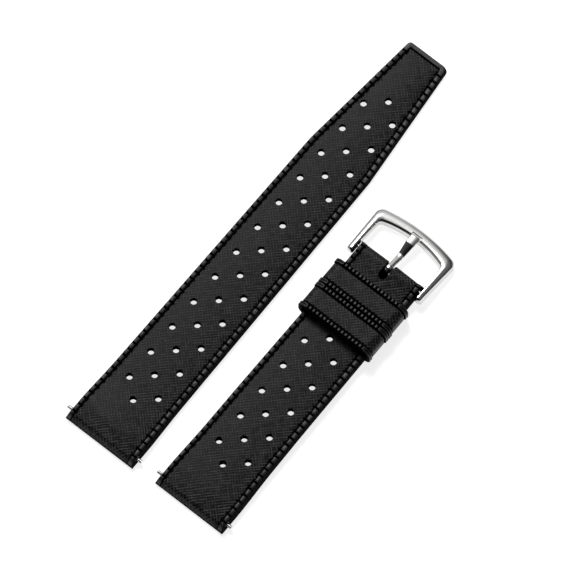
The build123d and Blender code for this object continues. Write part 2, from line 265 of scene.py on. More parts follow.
@dataclass(frozen=True)
class NodeTree:
    """A small builder round a material's nodes."""

    material: bpy.types.Material

    @staticmethod
    def start(name: str) -> "NodeTree":
        """Makes an empty node material with its shader and output joined.

        Args:
            name: Name of the material.

        Returns:
            The builder for the new material.
        """
        material = bpy.data.materials.new(name)
        material.use_nodes = True
        return NodeTree(material)

    @property
    def shader(self) -> bpy.types.ShaderNode:
        """The Principled shader of the material."""
        return self.material.node_tree.nodes["Principled BSDF"]

    def add(self, kind: str, **sockets: object) -> bpy.types.ShaderNode:
        """Adds a node and sets its inputs by name.

        Args:
            kind: Blender's node type.
            **sockets: Input values, with spaces in names written as underscores.

        Returns:
            The new node.
        """
        node = self.material.node_tree.nodes.new(kind)
        for key, value in sockets.items():
            node.inputs[key.replace("_", " ")].default_value = value
        return node

    def join(self, out: bpy.types.NodeSocket, into: bpy.types.NodeSocket) -> None:
        """Links two sockets."""
        self.material.node_tree.links.new(out, into)

    def millimetres(self, turn: float = 0.0, stretch: Point3 = (1.0, 1.0, 1.0)) -> bpy.types.NodeSocket:
        """Object coordinates in millimetres, turned about Z and stretched.

        Args:
            turn: Degrees about Z.
            stretch: Scale along each turned axis.

        Returns:
            The socket that holds the coordinates.
        """
        place = self.add("ShaderNodeTexCoord")
        angles = (0.0, 0.0, math.radians(turn))
        turned = self.add("ShaderNodeMapping", Rotation=angles, Scale=(1 / MM,) * 3)
        scaled = self.add("ShaderNodeMapping", Scale=stretch)
        self.join(place.outputs["Object"], turned.inputs["Vector"])
        self.join(turned.outputs["Vector"], scaled.inputs["Vector"])
        return scaled.outputs["Vector"]

    def math(
        self,
        operation: str,
        first: bpy.types.NodeSocket | float,
        second: bpy.types.NodeSocket | float,
    ) -> bpy.types.NodeSocket:
        """One sum on two sockets or numbers.

        Args:
            operation: Blender's name of the operation.
            first: Socket or number.
            second: Socket or number.

        Returns:
            The socket that holds the result.
        """
        node = self.add("ShaderNodeMath")
        node.operation = operation
        for value, socket in zip((first, second), node.inputs):
            if isinstance(value, bpy.types.NodeSocket):
                self.join(value, socket)
            else:
                socket.default_value = value
        return node.outputs[0]

    def ramp(
        self,
        source: bpy.types.NodeSocket,
        low: Sequence[float],
        high: Sequence[float],
        start: float,
        end: float,
    ) -> bpy.types.NodeSocket:
        """Maps a number onto a run between two colours.

        Args:
            source: The number's socket.
            low: Colour at the start.
            high: Colour at the end.
            start: Where the run starts.
            end: Where the run ends.

        Returns:
            The socket that holds the colour.
        """
        node = self.add("ShaderNodeValToRGB")
        first, last = node.color_ramp.elements
        first.position, last.position = start, end
        first.color, last.color = (*low, 1.0), (*high, 1.0)
        self.join(source, node.inputs[0])
        return node.outputs[0]

    def noise(self, where: bpy.types.NodeSocket, scale: float, detail: float = 3.0) -> bpy.types.NodeSocket:
        """Soft random variation.

        Args:
            where: Coordinates.
            scale: Bumps per millimetre.
            detail: Octaves.

        Returns:
            The socket that holds the value.
        """
        node = self.add("ShaderNodeTexNoise", Scale=scale, Detail=detail, Roughness=0.55)
        self.join(where, node.inputs["Vector"])
        return node.outputs[0]

    def wave(self, where: bpy.types.NodeSocket, pitch: float, distortion: float) -> bpy.types.NodeSocket:
        """Even ripples along X.

        Args:
            where: Coordinates in millimetres.
            pitch: Distance between crests in millimetres.
            distortion: How far noise pushes the crests about.

        Returns:
            The socket that holds the height, from 0 to 1.
        """
        scale = math.pi / 10 / pitch
        node = self.add("ShaderNodeTexWave", Scale=scale, Distortion=distortion, Detail=1.0)
        self.join(where, node.inputs["Vector"])
        return node.outputs["Fac"]

    def blend(
        self,
        first: bpy.types.NodeSocket,
        weight: float,
        second: bpy.types.NodeSocket,
        other: float,
    ) -> bpy.types.NodeSocket:
        """Sum of two sockets, each times a weight.

        Args:
            first: Socket.
            weight: Its weight.
            second: Socket.
            other: The second socket's weight.

        Returns:
            The socket that holds the sum.
        """
        parts = [self.math("MULTIPLY", *pair) for pair in ((first, weight), (second, other))]
        return self.math("ADD", *parts)

    def bump(self, height: bpy.types.NodeSocket, strength: float, depth: float) -> None:
        """Turns a height into the shader's normal.

        Args:
            height: Height between 0 and 1.
            strength: Share of the effect.
            depth: Depth in millimetres at height 1.
        """
        node = self.add("ShaderNodeBump", Strength=strength, Distance=depth * MM)
        self.join(height, node.inputs["Height"])
        self.join(node.outputs["Normal"], self.shader.inputs["Normal"])


@dataclass(frozen=True)
class RubberFinish:
    """Black moulded rubber, woven-looking on the outer face or plain on beads and sides; sides and hollows
    get it painted darker as shade.

    The starts are where the tone's ramp begins, and the reliefs are heights in millimetres.
    """

    name: str
    woven: bool = True
    thread_pitch: float = 0.636
    dark: Point3 = (0.0008, 0.0008, 0.0009)
    light: Point3 = (0.052, 0.052, 0.053)
    roughness: float = 0.38
    specular: float = 0.085
    woven_start: float = 0.27
    plain_start: float = 0.12
    woven_relief: float = 0.09
    plain_relief: float = 0.04
    thread_wander: float = 0.5
    thread_crest: float = 2.2
    thread_stretch: Point3 = (1.6, 0.5, 0.5)

    def threads(self, tree: NodeTree, turn: float) -> bpy.types.NodeSocket:
        """Raised threads that run one way, every other one stronger, broken up as in cloth.

        Args:
            tree: The material's builder.
            turn: Direction of the threads in degrees.

        Returns:
            The socket that holds the height of the threads.
        """
        across = tree.millimetres(turn)
        fine = tree.wave(across, self.thread_pitch, self.thread_wander)
        coarse = tree.wave(across, 2 * self.thread_pitch, self.thread_wander)
        crest = tree.math("POWER", fine, self.thread_crest)
        weight = tree.math("ADD", tree.math("MULTIPLY", coarse, 0.5), 0.45)
        broken = tree.noise(tree.millimetres(turn, self.thread_stretch), 1.0, 3.0)
        part = tree.math("MULTIPLY", tree.math("SUBTRACT", broken, 0.32), 2.9)
        return tree.math("MULTIPLY", tree.math("MULTIPLY", crest, weight), part)

    def material(self) -> bpy.types.Material:
        """Builds the node material.

        Returns:
            The finished material.
        """
        tree = NodeTree.start(self.name)
        where = tree.millimetres()
        mottle = tree.noise(where, 0.5, 4.0)
        grain = tree.noise(where, 7.0, 2.0)
        if self.woven:
            cloth = tree.math("MAXIMUM", self.threads(tree, 45.0), self.threads(tree, -45.0))
            worn = tree.blend(mottle, 0.3, grain, 0.12)
            # Thread crests are painted lighter and the gaps between threads darker: painted highlight and
            # shade on top of the bump. Mottle and grain are random tone.
            tone = tree.math("ADD", tree.math("MULTIPLY", cloth, 1.25), worn)
            height = tree.math("ADD", cloth, tree.math("MULTIPLY", grain, 0.2))
        else:
            tone = tree.blend(mottle, 0.6, grain, 0.4)
            height = tree.math("MULTIPLY", grain, 0.3)
        start = self.woven_start if self.woven else self.plain_start
        tree.join(tree.ramp(tone, self.dark, self.light, start, 1.0), tree.shader.inputs["Base Color"])
        rough = tree.ramp(grain, (self.roughness - 0.06,) * 3, (self.roughness + 0.1,) * 3, 0.3, 0.7)
        tree.join(rough, tree.shader.inputs["Roughness"])
        tree.shader.inputs["Specular IOR Level"].default_value = self.specular
        tree.bump(height, 1.0, self.woven_relief if self.woven else self.plain_relief)
        return tree.material


@dataclass(frozen=True)
class SteelFinish:
    """Stainless steel, mirror polished, satin or as drawn."""

    name: str
    polish: Polish
    tone: Point3 = (0.66, 0.655, 0.65)
    shade: float = 0.93
    scratch_stretch: Point3 = (0.25, 9.0, 9.0)
    scratch_turn: float = 8.0

    def material(self) -> bpy.types.Material:
        """Builds the node material.

        Returns:
            The finished material.
        """
        tree = NodeTree.start(self.name)
        level = {Polish.MIRROR: 0.15, Polish.SATIN: 0.24, Polish.DRAWN: 0.34}[self.polish]
        scratch = tree.noise(tree.millimetres(self.scratch_turn, self.scratch_stretch), 1.6, 3.0)
        cloud = tree.noise(tree.millimetres(), 0.7, 3.0)
        darker = tuple(channel * self.shade for channel in self.tone)
        tree.join(tree.ramp(cloud, darker, self.tone, 0.3, 0.7), tree.shader.inputs["Base Color"])
        smooth, coarse = (level * 0.7,) * 3, (level * 1.5,) * 3
        tree.join(tree.ramp(scratch, smooth, coarse, 0.35, 0.75), tree.shader.inputs["Roughness"])
        tree.shader.inputs["Metallic"].default_value = 1.0
        tree.bump(scratch, 0.05, 0.002)
        return tree.material


@dataclass(frozen=True)
class PaperFinish:
    """The pale ground of a studio table."""

    name: str = "pale_ground"
    tone: Point3 = (0.45, 0.45, 0.45)
    glow: float = 0.81

    def material(self) -> bpy.types.Material:
        """Builds the node material.

        Returns:
            The finished material.
        """
        tree = NodeTree.start(self.name)
        cloud = tree.noise(tree.millimetres(), 0.01, 2.0)
        shade = tuple(channel * 0.99 for channel in self.tone)
        tree.join(tree.ramp(cloud, shade, self.tone, 0.3, 0.7), tree.shader.inputs["Base Color"])
        tree.shader.inputs["Roughness"].default_value = 0.9
        tree.shader.inputs["Emission Color"].default_value = (1.0, 1.0, 1.0, 1.0)
        tree.shader.inputs["Emission Strength"].default_value = self.glow
        return tree.material


def dress(piece: bpy.types.Object, *materials: bpy.types.Material) -> None:
    """Gives a piece its materials, one for each zone of its faces.

    Args:
        piece: The piece.
        *materials: Materials in the order of the zones.
    """
    zones = [min(polygon.material_index, len(materials) - 1) for polygon in piece.data.polygons]
    piece.data.materials.clear()
    for material in materials:
        piece.data.materials.append(material)
    piece.data.polygons.foreach_set("material_index", zones)


# --------------------------------------------------------------- strap halves


@dataclass
class StrapShape:
    """Sizes of one rubber half in millimetres, in the same words as the solid."""

    name: str
    node: str
    centre_x: float
    lug_y: float
    length: float
    stations: list[Point2]
    top_corners: list[Point2]
    top_radii: list[float]
    under_corners: list[Point2]
    under_radii: list[float]
    middle_holes: int
    last_notch: float
    tipped: bool
    slot_width: float = 0.0
    slot_length: float = 0.0
    flare: float = 0.159
    slot_through: float = 0.0
    web_height: float = 0.6
    bead_inset: float = 1.36
    groove_width: float = 0.36
    groove_depth: float = 0.5
    panel_drop: float = 0.36
    camber: float = 0.3
    camber_end: float = 1.8
    camber_fade: float = 4.0
    notch_depth: float = 0.4
    notch_gap: float = 0.45
    notch_pitch: float = 1.84
    lug_block: float = 1.87
    lug_notch_pitch: float = 1.948
    lug_notch_count: int = 10
    hole_radius: float = 0.77
    hole_pitch: float = 7.709
    hole_column: float = 4.2
    first_hole: float = 12.35
    tip_corner: float = 1.2

    def __post_init__(self) -> None:
        """Works out the side outlines once."""
        self.top_run = np.array(rounded_path(self.top_corners, self.top_radii))
        self.under_run = np.array(rounded_path(self.under_corners, self.under_radii))

    def half_width(self, along: float) -> float:
        """Half the width on the table.

        Args:
            along: Place along the half from its lug end.

        Returns:
            Half the width there.
        """
        (a, wide), (b, waist) = self.stations[0], self.stations[1]
        if a < along < b:
            after = self.stations[2]
            slope = (after[1] - waist) / (after[0] - b)
            share = (along - a) / (b - a)
            curve = wide + (waist - wide) * (3 * share**2 - 2 * share**3)
            return curve + slope * (b - a) * (share**3 - share**2)
        return float(np.interp(along, *zip(*self.stations)))

    def top(self, along: float) -> float:
        """Height of the bead's top at a place along the half."""
        return float(np.interp(along, self.top_run[:, 0], self.top_run[:, 1]))

    def panel_top(self, across: float, along: float) -> float:
        """Height of the panel, which is a little fuller along its middle.

        Args:
            across: Place across the half from its middle.
            along: Place along the half from its lug end.

        Returns:
            Height of the panel there.
        """
        half = self.half_width(along) - self.bead_inset - self.groove_width
        share = max(0.0, 1.0 - (across / half) ** 2)
        if self.tipped:
            share *= min(1.0, max(0.0, (self.length - self.camber_end - along) / self.camber_fade))
        return self.top(along) - self.panel_drop + self.camber * share

    def under(self, along: float) -> float:
        """Height of the underside at a place along the half."""
        return float(np.interp(along, self.under_run[:, 0], self.under_run[:, 1]))

    def holes(self) -> list[Point2]:
        """Middles of the perforations, as across and along."""
        found = []
        for index in range(2 * self.middle_holes - 1):
            along = self.first_hole + index * self.hole_pitch / 2
            columns = (0.0,) if index % 2 == 0 else (-self.hole_column, self.hole_column)
            found += [(across, along) for across in columns]
        return found

    def notches(self) -> list[float]:
        """Places along the half of the cuts between the blocks."""
        wide = [self.lug_block + k * self.lug_notch_pitch for k in range(self.lug_notch_count)]
        start = wide[-1]
        count = int((self.last_notch - start) / self.notch_pitch)
        return wide + [start + (index + 1) * self.notch_pitch for index in range(count)]

    def place(self, across: float, along: float, height: float) -> Point3:
        """A place of the half in the row frame."""
        return (self.centre_x + across, self.lug_y + along, height)


@dataclass
class RubberHalf:
    """One half of the strap: woven panel with perforations, and notched edge beads.

    A notch step is a place beside the notch's edge and the share of the notch cut there. The
    rings are rows of points round each perforation, and the bead columns are the first and the
    last face of the edge's section that show the bead.
    """

    shape: StrapShape
    hole_steps: int = 32
    rim: float = 0.09
    draft: float = 0.02
    edge_round: float = 0.2
    lip_length: float = 0.95
    lip_height: float = 0.11
    scallop_depth: float = 0.3
    scallop_half: float = 0.36
    scallop_reach: float = 0.62
    scallop_shifts: tuple[float, ...] = (-0.52, -0.34, -0.2, 0.2, 0.34, 0.52)
    notch_steps: tuple[Point2, ...] = ((-0.1, 0.0), (-0.03, 0.08), (0.03, 0.92), (0.08, 1.0))
    border_soft: float = 0.09
    border_lap: float = 0.05
    tip_clear: float = 2.3
    end_clear: float = 0.5
    panel_corner: float = 0.4
    slot_clear: float = 0.05
    rings: tuple[float, float] = (0.06, 0.25)
    ring_clear: float = 0.4
    row_gap: float = 1.3
    row_least: float = 0.06
    foot_reach: float = 0.45
    bead_columns: tuple[int, int] = (6, 9)
    tip_run: float = 2.4
    tip_steps: int = 11
    bore_margin: float = 2.0

    def row_places(self) -> list[float]:
        """Places along the half where its side outline bends.

        Returns:
            Sorted places from the lug end to the other end.
        """
        runs = list(self.shape.top_run[:, 0]) + list(self.shape.under_run[:, 0])
        even = np.arange(0.0, self.shape.length, self.row_gap)
        places = sorted(set(round(float(p), 3) for p in [*runs, *even, self.shape.length]))
        kept = [places[0]]
        for place in places[1:]:
            if place - kept[-1] > self.row_least:
                kept.append(place)
        kept[-1] = self.shape.length
        return kept

    def border_places(self) -> list[float]:
        """Places along the panel's border, close together opposite each notch.

        Returns:
            Sorted places from the lug end on.
        """
        shape = self.shape
        limit = shape.length - (self.tip_clear if shape.tipped else self.end_clear)
        notches, reach = shape.notches(), self.scallop_reach
        clear = [p for p in self.row_places() if min(abs(p - n) for n in notches) > reach]
        near = [notch + shift for notch in notches for shift in self.scallop_shifts]
        return sorted(place for place in clear + near if place < limit)

    def scallop(self, along: float) -> float:
        """How far the border stands back opposite a notch."""
        nearest = min(abs(along - notch) for notch in self.shape.notches())
        return self.scallop_depth * math.exp(-((nearest / self.scallop_half) ** 4))

    def panel_outline(self, inset: float) -> list[Point2]:
        """Plan of the panel, as across and along.

        Args:
            inset: Distance in from the edge of the half.

        Returns:
            Corners in order round the panel, always the same number.
        """
        shape = self.shape
        end = shape.length - (inset if shape.tipped else 0.0)
        run = [(shape.half_width(p) - inset - self.scallop(p), p) for p in self.border_places()]
        corner = (shape.half_width(end) - inset, end)
        right = run + [corner]
        if shape.tipped:
            right = run + rounded_path([run[-1], corner, (0.0, end)], [self.panel_corner], 5)[1:-1]
        left = [(-x, y) for x, y in reversed(right)]
        if not shape.slot_length:
            return right + left
        radius = shape.slot_width / 2
        floor = shape.length - shape.slot_length + radius
        beside = [place for place in reversed(self.row_places()) if floor + 0.1 < place < end - 0.05]
        cheek = [(radius, place) for place in (end, *beside)]
        return right + cheek + half_turn(radius, floor) + [(-x, y) for x, y in reversed(cheek)] + left

    def build_panel(self) -> bpy.types.Object:
        """Builds the perforated panel as a closed solid.

        Returns:
            The new piece.
        """
        shape = self.shape
        border = shape.bead_inset + shape.groove_width - self.border_lap
        outline = self.panel_outline(border + self.border_soft)
        wall = self.panel_outline(border)
        rim = shape.hole_radius + self.rim
        loops = [outline, *[circle(middle, rim, self.hole_steps) for middle in shape.holes()]]
        spots: list[Point2] = [spot for loop in loops for spot in loop]
        edges, start = [], 0
        for loop in loops:
            edges += [(start + k, start + (k + 1) % len(loop)) for k in range(len(loop))]
            start += len(loop)
        spots += self.inner_spots(shape.holes())
        found, _, triangles, *_ = delaunay_2d_cdt([Vector(s) for s in spots], edges, [], 0, 1e-7)
        places = [(v.x, v.y) for v in found]
        middles = [np.mean([places[k] for k in t], axis=0) for t in triangles]
        flat = [t for t, middle in zip(triangles, middles) if self.in_panel(middle, outline)]
        count = len(places)
        points = [shape.place(x, y, shape.panel_top(x, y)) for x, y in places]
        points += [shape.place(*self.lower_spot(x, y), self.panel_under(y)) for x, y in places]
        faces: list[Sequence[int]] = list(flat)
        faces += [tuple(count + k for k in reversed(t)) for t in flat]
        outer, start = len(outline), len(points)
        soft = -0.75 * self.border_soft
        for ring, sink in ((outline, 0.0), (wall, soft), (wall, None), (outline, None)):
            for x, y in ring:
                height = self.panel_under(y) if sink is None else shape.panel_top(x, y) + sink
                points.append(shape.place(x, y, height))
        zones = [Zone.WOVEN.value] * len(flat) + [Zone.SIDE.value] * len(flat)
        zones += [Zone.WOVEN.value] * outer + [Zone.HOLLOW.value] * outer + [Zone.SIDE.value] * outer
        faces += [tuple(start + k for k in f) for f in strip_faces(4, outer, True)]
        self.add_hole_walls(points, faces)
        # The perforation walls take the rubber of the hollows, which is painted near black as shade.
        ring = [Zone.WOVEN.value] * self.hole_steps + [Zone.HOLLOW.value] * 4 * self.hole_steps
        zones += ring * len(shape.holes())
        return mesh_piece(f"{shape.name}_panel", points, faces, 50.0, zones)

    def build_slot_web(self) -> bpy.types.Object:
        """Builds the thin web that closes the rear of the slot from below.

        Returns:
            The new piece.
        """
        shape = self.shape
        reach = shape.slot_width / 2 + self.slot_clear
        rear = shape.length - shape.slot_length + shape.slot_width / 2
        front = shape.length - shape.slot_through
        plan = [(reach, front), *half_turn(reach, rear), (-reach, front)]
        base = shape.under(front)
        lip = [(reach, front + self.lip_length), *plan[1:-1], (-reach, front + self.lip_length)]
        heights = (0.01, self.lip_height, self.lip_height + 0.01, shape.web_height)
        levels = list(zip((lip, lip, plan, plan), heights))
        points = [shape.place(x, y, base + height) for outline, height in levels for x, y in outline]
        faces = tube_faces(len(levels), len(plan))
        # The web takes the rubber of the hollows, which is painted near black as shade.
        zones = [Zone.HOLLOW.value] * len(faces)
        return mesh_piece(f"{shape.name}_slot_web", points, faces, 40.0, zones)

    def panel_under(self, along: float) -> float:
        """Height of the panel's underside, never above its top."""
        return min(self.shape.under(along), self.shape.top(along) - self.shape.panel_drop - 0.02)

    def inner_spots(self, holes: Iterable[Point2]) -> list[Point2]:
        """Points inside the panel that let it follow the side outline.

        Args:
            holes: Middles of the perforations.

        Returns:
            Places clear of the perforations and of the outline.
        """
        shape, spots = self.shape, []
        middles = np.array(list(holes))
        rim = shape.hole_radius + self.rim
        slot_half, slot_start = shape.slot_width / 2 + 0.15, shape.length - shape.slot_length - 0.2
        for along in self.row_places()[1:-1]:
            half = shape.half_width(along) - shape.bead_inset - shape.groove_width - 0.35
            if shape.tipped and along > shape.length - shape.bead_inset - 1.0:
                continue
            for across in np.linspace(-half, half, 13):
                clear = np.hypot(*(middles - (across, along)).T).min() > rim + self.ring_clear
                in_slot = shape.slot_length and abs(across) < slot_half and along > slot_start
                if clear and not in_slot:
                    spots.append((float(across), along))
        for middle in middles:
            for wider in self.rings:
                spots += circle(middle, rim + wider, self.hole_steps)
        return spots

    def in_panel(self, spot: np.ndarray, outline: Sequence[Point2]) -> bool:
        """Whether a place in plan is rubber and not a perforation.

        Args:
            spot: Place as across and along.
            outline: Corners of the panel.

        Returns:
            True where there is rubber.
        """
        rim = self.shape.hole_radius + self.rim - 0.02
        if any(math.hypot(spot[0] - x, spot[1] - y) < rim for x, y in self.shape.holes()):
            return False
        inside, before = False, outline[-1]
        for corner in outline:
            if (corner[1] > spot[1]) != (before[1] > spot[1]):
                run, rise = corner[0] - before[0], corner[1] - before[1]
                inside ^= spot[0] < before[0] + (spot[1] - before[1]) * run / rise
            before = corner
        return inside

    def lower_spot(self, across: float, along: float) -> Point2:
        """Where a place of the top lies on the underside, where the perforations are wider.

        Args:
            across: Place across the half.
            along: Place along the half.

        Returns:
            The place on the underside.
        """
        start, spread = self.shape.hole_radius + self.rim, self.rings[1]
        for x, y in self.shape.holes():
            gap = math.hypot(across - x, along - y)
            if gap < start + spread:
                wider = 1.0 + self.draft * (1.0 - (gap - start) / spread) / gap
                return (x + (across - x) * wider, y + (along - y) * wider)
        return (across, along)

    def add_hole_walls(self, points: list[Point3], faces: list[Sequence[int]]) -> None:
        """Adds the rounded rim and the wall of each perforation.

        Args:
            points: Points of the panel, added to.
            faces: Faces of the panel, added to.
        """
        shape, wide = self.shape, self.rim + self.draft
        upper = [(self.rim, 0.0), (0.03, 0.03), (0.0, 0.1)]
        levels = [*upper, (0.0, -0.5), (0.5 * wide, -0.18), (wide, 0.0)]
        walls = strip_faces(len(levels), self.hole_steps, True)
        for middle in shape.holes():
            start = len(points)
            for row, (wider, sink) in enumerate(levels):
                for x, y in circle(middle, shape.hole_radius + wider, self.hole_steps):
                    surface = shape.panel_top(x, y) if row < len(upper) else self.panel_under(y)
                    points.append(shape.place(x, y, surface - sink))
            faces += [tuple(start + k for k in face) for face in walls]

    def edge_profile(self, height: float, base: float, cut: float) -> list[Point2]:
        """Section of the edge from the underside round the bead to the groove.

        Args:
            height: Height of the bead's top.
            base: Height of the underside.
            cut: How far a notch lowers the bead's top.

        Returns:
            The section's places as inset and height, always the same number.
        """
        shape = self.shape
        level = height - cut
        outer = shape.flare * (level - base)
        inner = shape.bead_inset
        floor = height - shape.groove_depth
        soft = min(0.12, max(level - base, 0.05) / 3)
        full = min(self.edge_round, max(level - base, 0.05) / 3)
        groove, low = inner + shape.groove_width, min(floor, level - soft - 0.01)
        return [
            (groove + self.foot_reach, base + 0.04),
            (groove - 0.03, base),
            (0.12, base),
            (0.03, base + soft / 5),
            (0.0, base + soft / 2),
            (outer, level - full),
            (outer + full * SOFT_SHARE, level - full * SOFT_SHARE),
            (outer + full, level),
            (inner - soft, level),
            (inner - soft * SOFT_SHARE, level - soft * SOFT_SHARE),
            (inner, level - soft),
            (inner + 0.02, min(floor + 0.06, level - soft)),
            (inner + 0.08, low),
            (groove - 0.06, low),
            (groove + 0.1, low),
            (groove + self.foot_reach, low),
        ]

    def edge_places(self) -> list[tuple[float, float]]:
        """Stations along a side, each with how much of a notch is cut there.

        Returns:
            Pairs of place and share of the notch, from the lug end on.
        """
        shape, half_gap = self.shape, self.shape.notch_gap / 2
        marks: dict[float, float] = {p: 0.0 for p in self.row_places()}
        for notch in shape.notches():
            for place in [p for p in marks if abs(p - notch) < half_gap + 0.12]:
                del marks[place]
            for step, share in self.notch_steps:
                shift = step - half_gap
                marks[round(notch + shift, 4)] = share
                marks[round(notch - shift, 4)] = share
        return sorted(marks.items())

    def build_edges(self) -> list[bpy.types.Object]:
        """Builds the edge bead: one run round the tip, or one strip on each side.

        Returns:
            The new pieces.
        """
        shape = self.shape
        if shape.tipped:
            return [self.edge_round_tip()]
        return [self.edge_strip(side) for side in Side]

    def edge_row(self, side: Side, along: float, share: float) -> list[Point3]:
        """One section of a side edge.

        Args:
            side: Which side.
            along: Place along the half.
            share: Share of a notch cut there.

        Returns:
            The section's points in the row frame.
        """
        shape, under = self.shape, self.panel_under(along)
        section = self.edge_profile(shape.top(along), under, share * shape.notch_depth)
        half = shape.half_width(along)
        return [shape.place(side.value * (half - inset), along, height) for inset, height in section]

    def edge_strip(self, side: Side) -> bpy.types.Object:
        """Builds the edge of one side as a closed strip.

        Args:
            side: Which side.

        Returns:
            The new piece.
        """
        places = self.edge_places()
        rows = [self.edge_row(side, along, share) for along, share in places]
        name = f"{self.shape.name}_edge_{side.name.lower()}"
        return self.closed_run(name, rows, [share for _, share in places])

    def edge_round_tip(self) -> bpy.types.Object:
        """Builds the edge as one run up one side, round the tip and down the other.

        Returns:
            The new piece.
        """
        shape = self.shape
        limit = shape.length - self.tip_run
        sides = [(along, share) for along, share in self.edge_places() if along < limit]
        rows = [self.edge_row(Side.LEFT, along, share) for along, share in sides]
        rows += self.tip_rows(Side.LEFT)
        rows += list(reversed(self.tip_rows(Side.RIGHT)))
        rows += [self.edge_row(Side.RIGHT, along, share) for along, share in reversed(sides)]
        shares = [share for _, share in sides]
        plain = [0.0] * (len(rows) - 2 * len(shares))
        return self.closed_run(f"{shape.name}_edge", rows, shares + plain + shares[::-1])

    def tip_rows(self, side: Side) -> list[list[Point3]]:
        """Sections of the edge round one corner of the tip, up to its middle.

        Args:
            side: Which corner.

        Returns:
            The sections in order towards the middle of the tip.
        """
        shape = self.shape
        tip_top, start_at = shape.top(shape.length), shape.length - self.tip_run
        section = self.edge_profile(tip_top, 0.0, 0.0)
        columns = []
        for inset, height in section:
            end = shape.length - inset
            corner = (shape.half_width(shape.length) - inset, end)
            start = (shape.half_width(start_at) - inset, start_at)
            radius = max(shape.tip_corner - inset, 0.36)
            run = rounded_path([start, corner, (0.0, end)], [radius], self.tip_steps)[1:-1]
            run += [(x, end) for x in np.linspace(run[-1][0], 0.0, 5)[1:]]
            lift = [height + shape.top(y) - tip_top if height > 0.1 else height for _, y in run]
            columns.append([shape.place(side.value * x, y, z) for (x, y), z in zip(run, lift)])
        return [list(row) for row in zip(*columns)]

    def closed_run(
        self,
        name: str,
        rows: list[list[Point3]],
        shares: list[float],
    ) -> bpy.types.Object:
        """Joins sections into a closed solid with flat ends.

        Args:
            name: Name of the piece.
            rows: Sections in order.
            shares: Share of a notch cut at each section.

        Returns:
            The new piece.
        """
        width, (first, last) = len(rows[0]), self.bead_columns
        points = [point for row in rows for point in row]
        faces = tube_faces(len(rows), width)
        cut = [max(pair) > 0.5 for pair in zip(shares, shares[1:])]
        # Side faces, grooves and cut notches take rubbers that are painted dark as shade.
        zones = []
        for face in range(len(faces) - 2):
            row, column = divmod(face, width)
            if column < first or column == width - 1:
                zones.append(Zone.SIDE.value)
            elif column > last or cut[row]:
                zones.append(Zone.HOLLOW.value)
            else:
                zones.append(Zone.BEAD.value)
        return mesh_piece(name, points, faces, 42.0, zones + [Zone.SIDE.value] * 2)

    def build(self, bar_bores: Sequence[Point2], bore_radius: float) -> list[bpy.types.Object]:
        """Builds the half and cuts the bores of its bars.

        Args:
            bar_bores: Middles of the bores, as along and height.
            bore_radius: Radius of the bores.

        Returns:
            The pieces of the half.
        """
        pieces = [self.build_panel(), *self.build_edges()]
        if self.shape.slot_through:
            pieces.append(self.build_slot_web())
        length = 2 * self.shape.stations[0][1] + self.bore_margin
        for along, height in bar_bores:
            cutter = bore_cutter(self.shape.place(0.0, along, height), bore_radius, length)
            for piece in pieces:
                cut_away(piece, cutter)
            bpy.data.objects.remove(cutter)
        for piece in pieces:
            even_shading(piece)
        return pieces

    def dress(
        self,
        pieces: Sequence[bpy.types.Object],
        rubbers: Sequence[bpy.types.Material],
    ) -> None:
        """Gives each piece its rubber and its place in the frame.

        Args:
            pieces: The pieces of the half.
            rubbers: The rubber finishes in the order of the zones.
        """
        for piece in pieces:
            dress(piece, *rubbers)
            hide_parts(self.shape.node)
            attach(piece, "straps")


def bore_cutter(middle: Point3, radius: float, length: float) -> bpy.types.Object:
    """Makes a round cutter along X.

    Args:
        middle: Its middle in millimetres.
        radius: Its radius.
        length: Its length.

    Returns:
        The cutter.
    """
    work = bmesh.new()
    turn = Matrix.Rotation(math.pi / 2, 4, "Y")
    place = Matrix.Translation(Vector(middle) * MM)
    sizes = {"radius1": radius * MM, "radius2": radius * MM, "depth": length * MM}
    bmesh.ops.create_cone(work, cap_ends=True, segments=40, matrix=place @ turn, **sizes)
    mesh = bpy.data.meshes.new("cutter")
    work.to_mesh(mesh)
    work.free()
    cutter = bpy.data.objects.new("cutter", mesh)
    bpy.context.scene.collection.objects.link(cutter)
    return cutter


def even_shading(piece: bpy.types.Object) -> None:
    """Lets the large faces of a piece set the shading at its edges."""
    weights = piece.modifiers.new("even_shading", "WEIGHTED_NORMAL")
    weights.mode, weights.weight, weights.keep_sharp = "FACE_AREA", 90, True


def apply_modifiers(piece: bpy.types.Object) -> None:
    """Bakes a piece's modifiers into its mesh."""
    shown = piece.evaluated_get(bpy.context.evaluated_depsgraph_get())
    baked = bpy.data.meshes.new_from_object(shown)
    piece.modifiers.clear()
    piece.data = baked
    baked.set_sharp_from_angle(angle=math.radians(42))


def cut_away(piece: bpy.types.Object, cutter: bpy.types.Object) -> None:
    """Takes the form of a cutter out of a piece.

    Args:
        piece: The piece.
        cutter: The form to take out.
    """
    cut = piece.modifiers.new("cut", "BOOLEAN")
    cut.operation, cut.solver, cut.object = "DIFFERENCE", "EXACT", cutter
    apply_modifiers(piece)


# --------------------------------------------------------------------- keepers


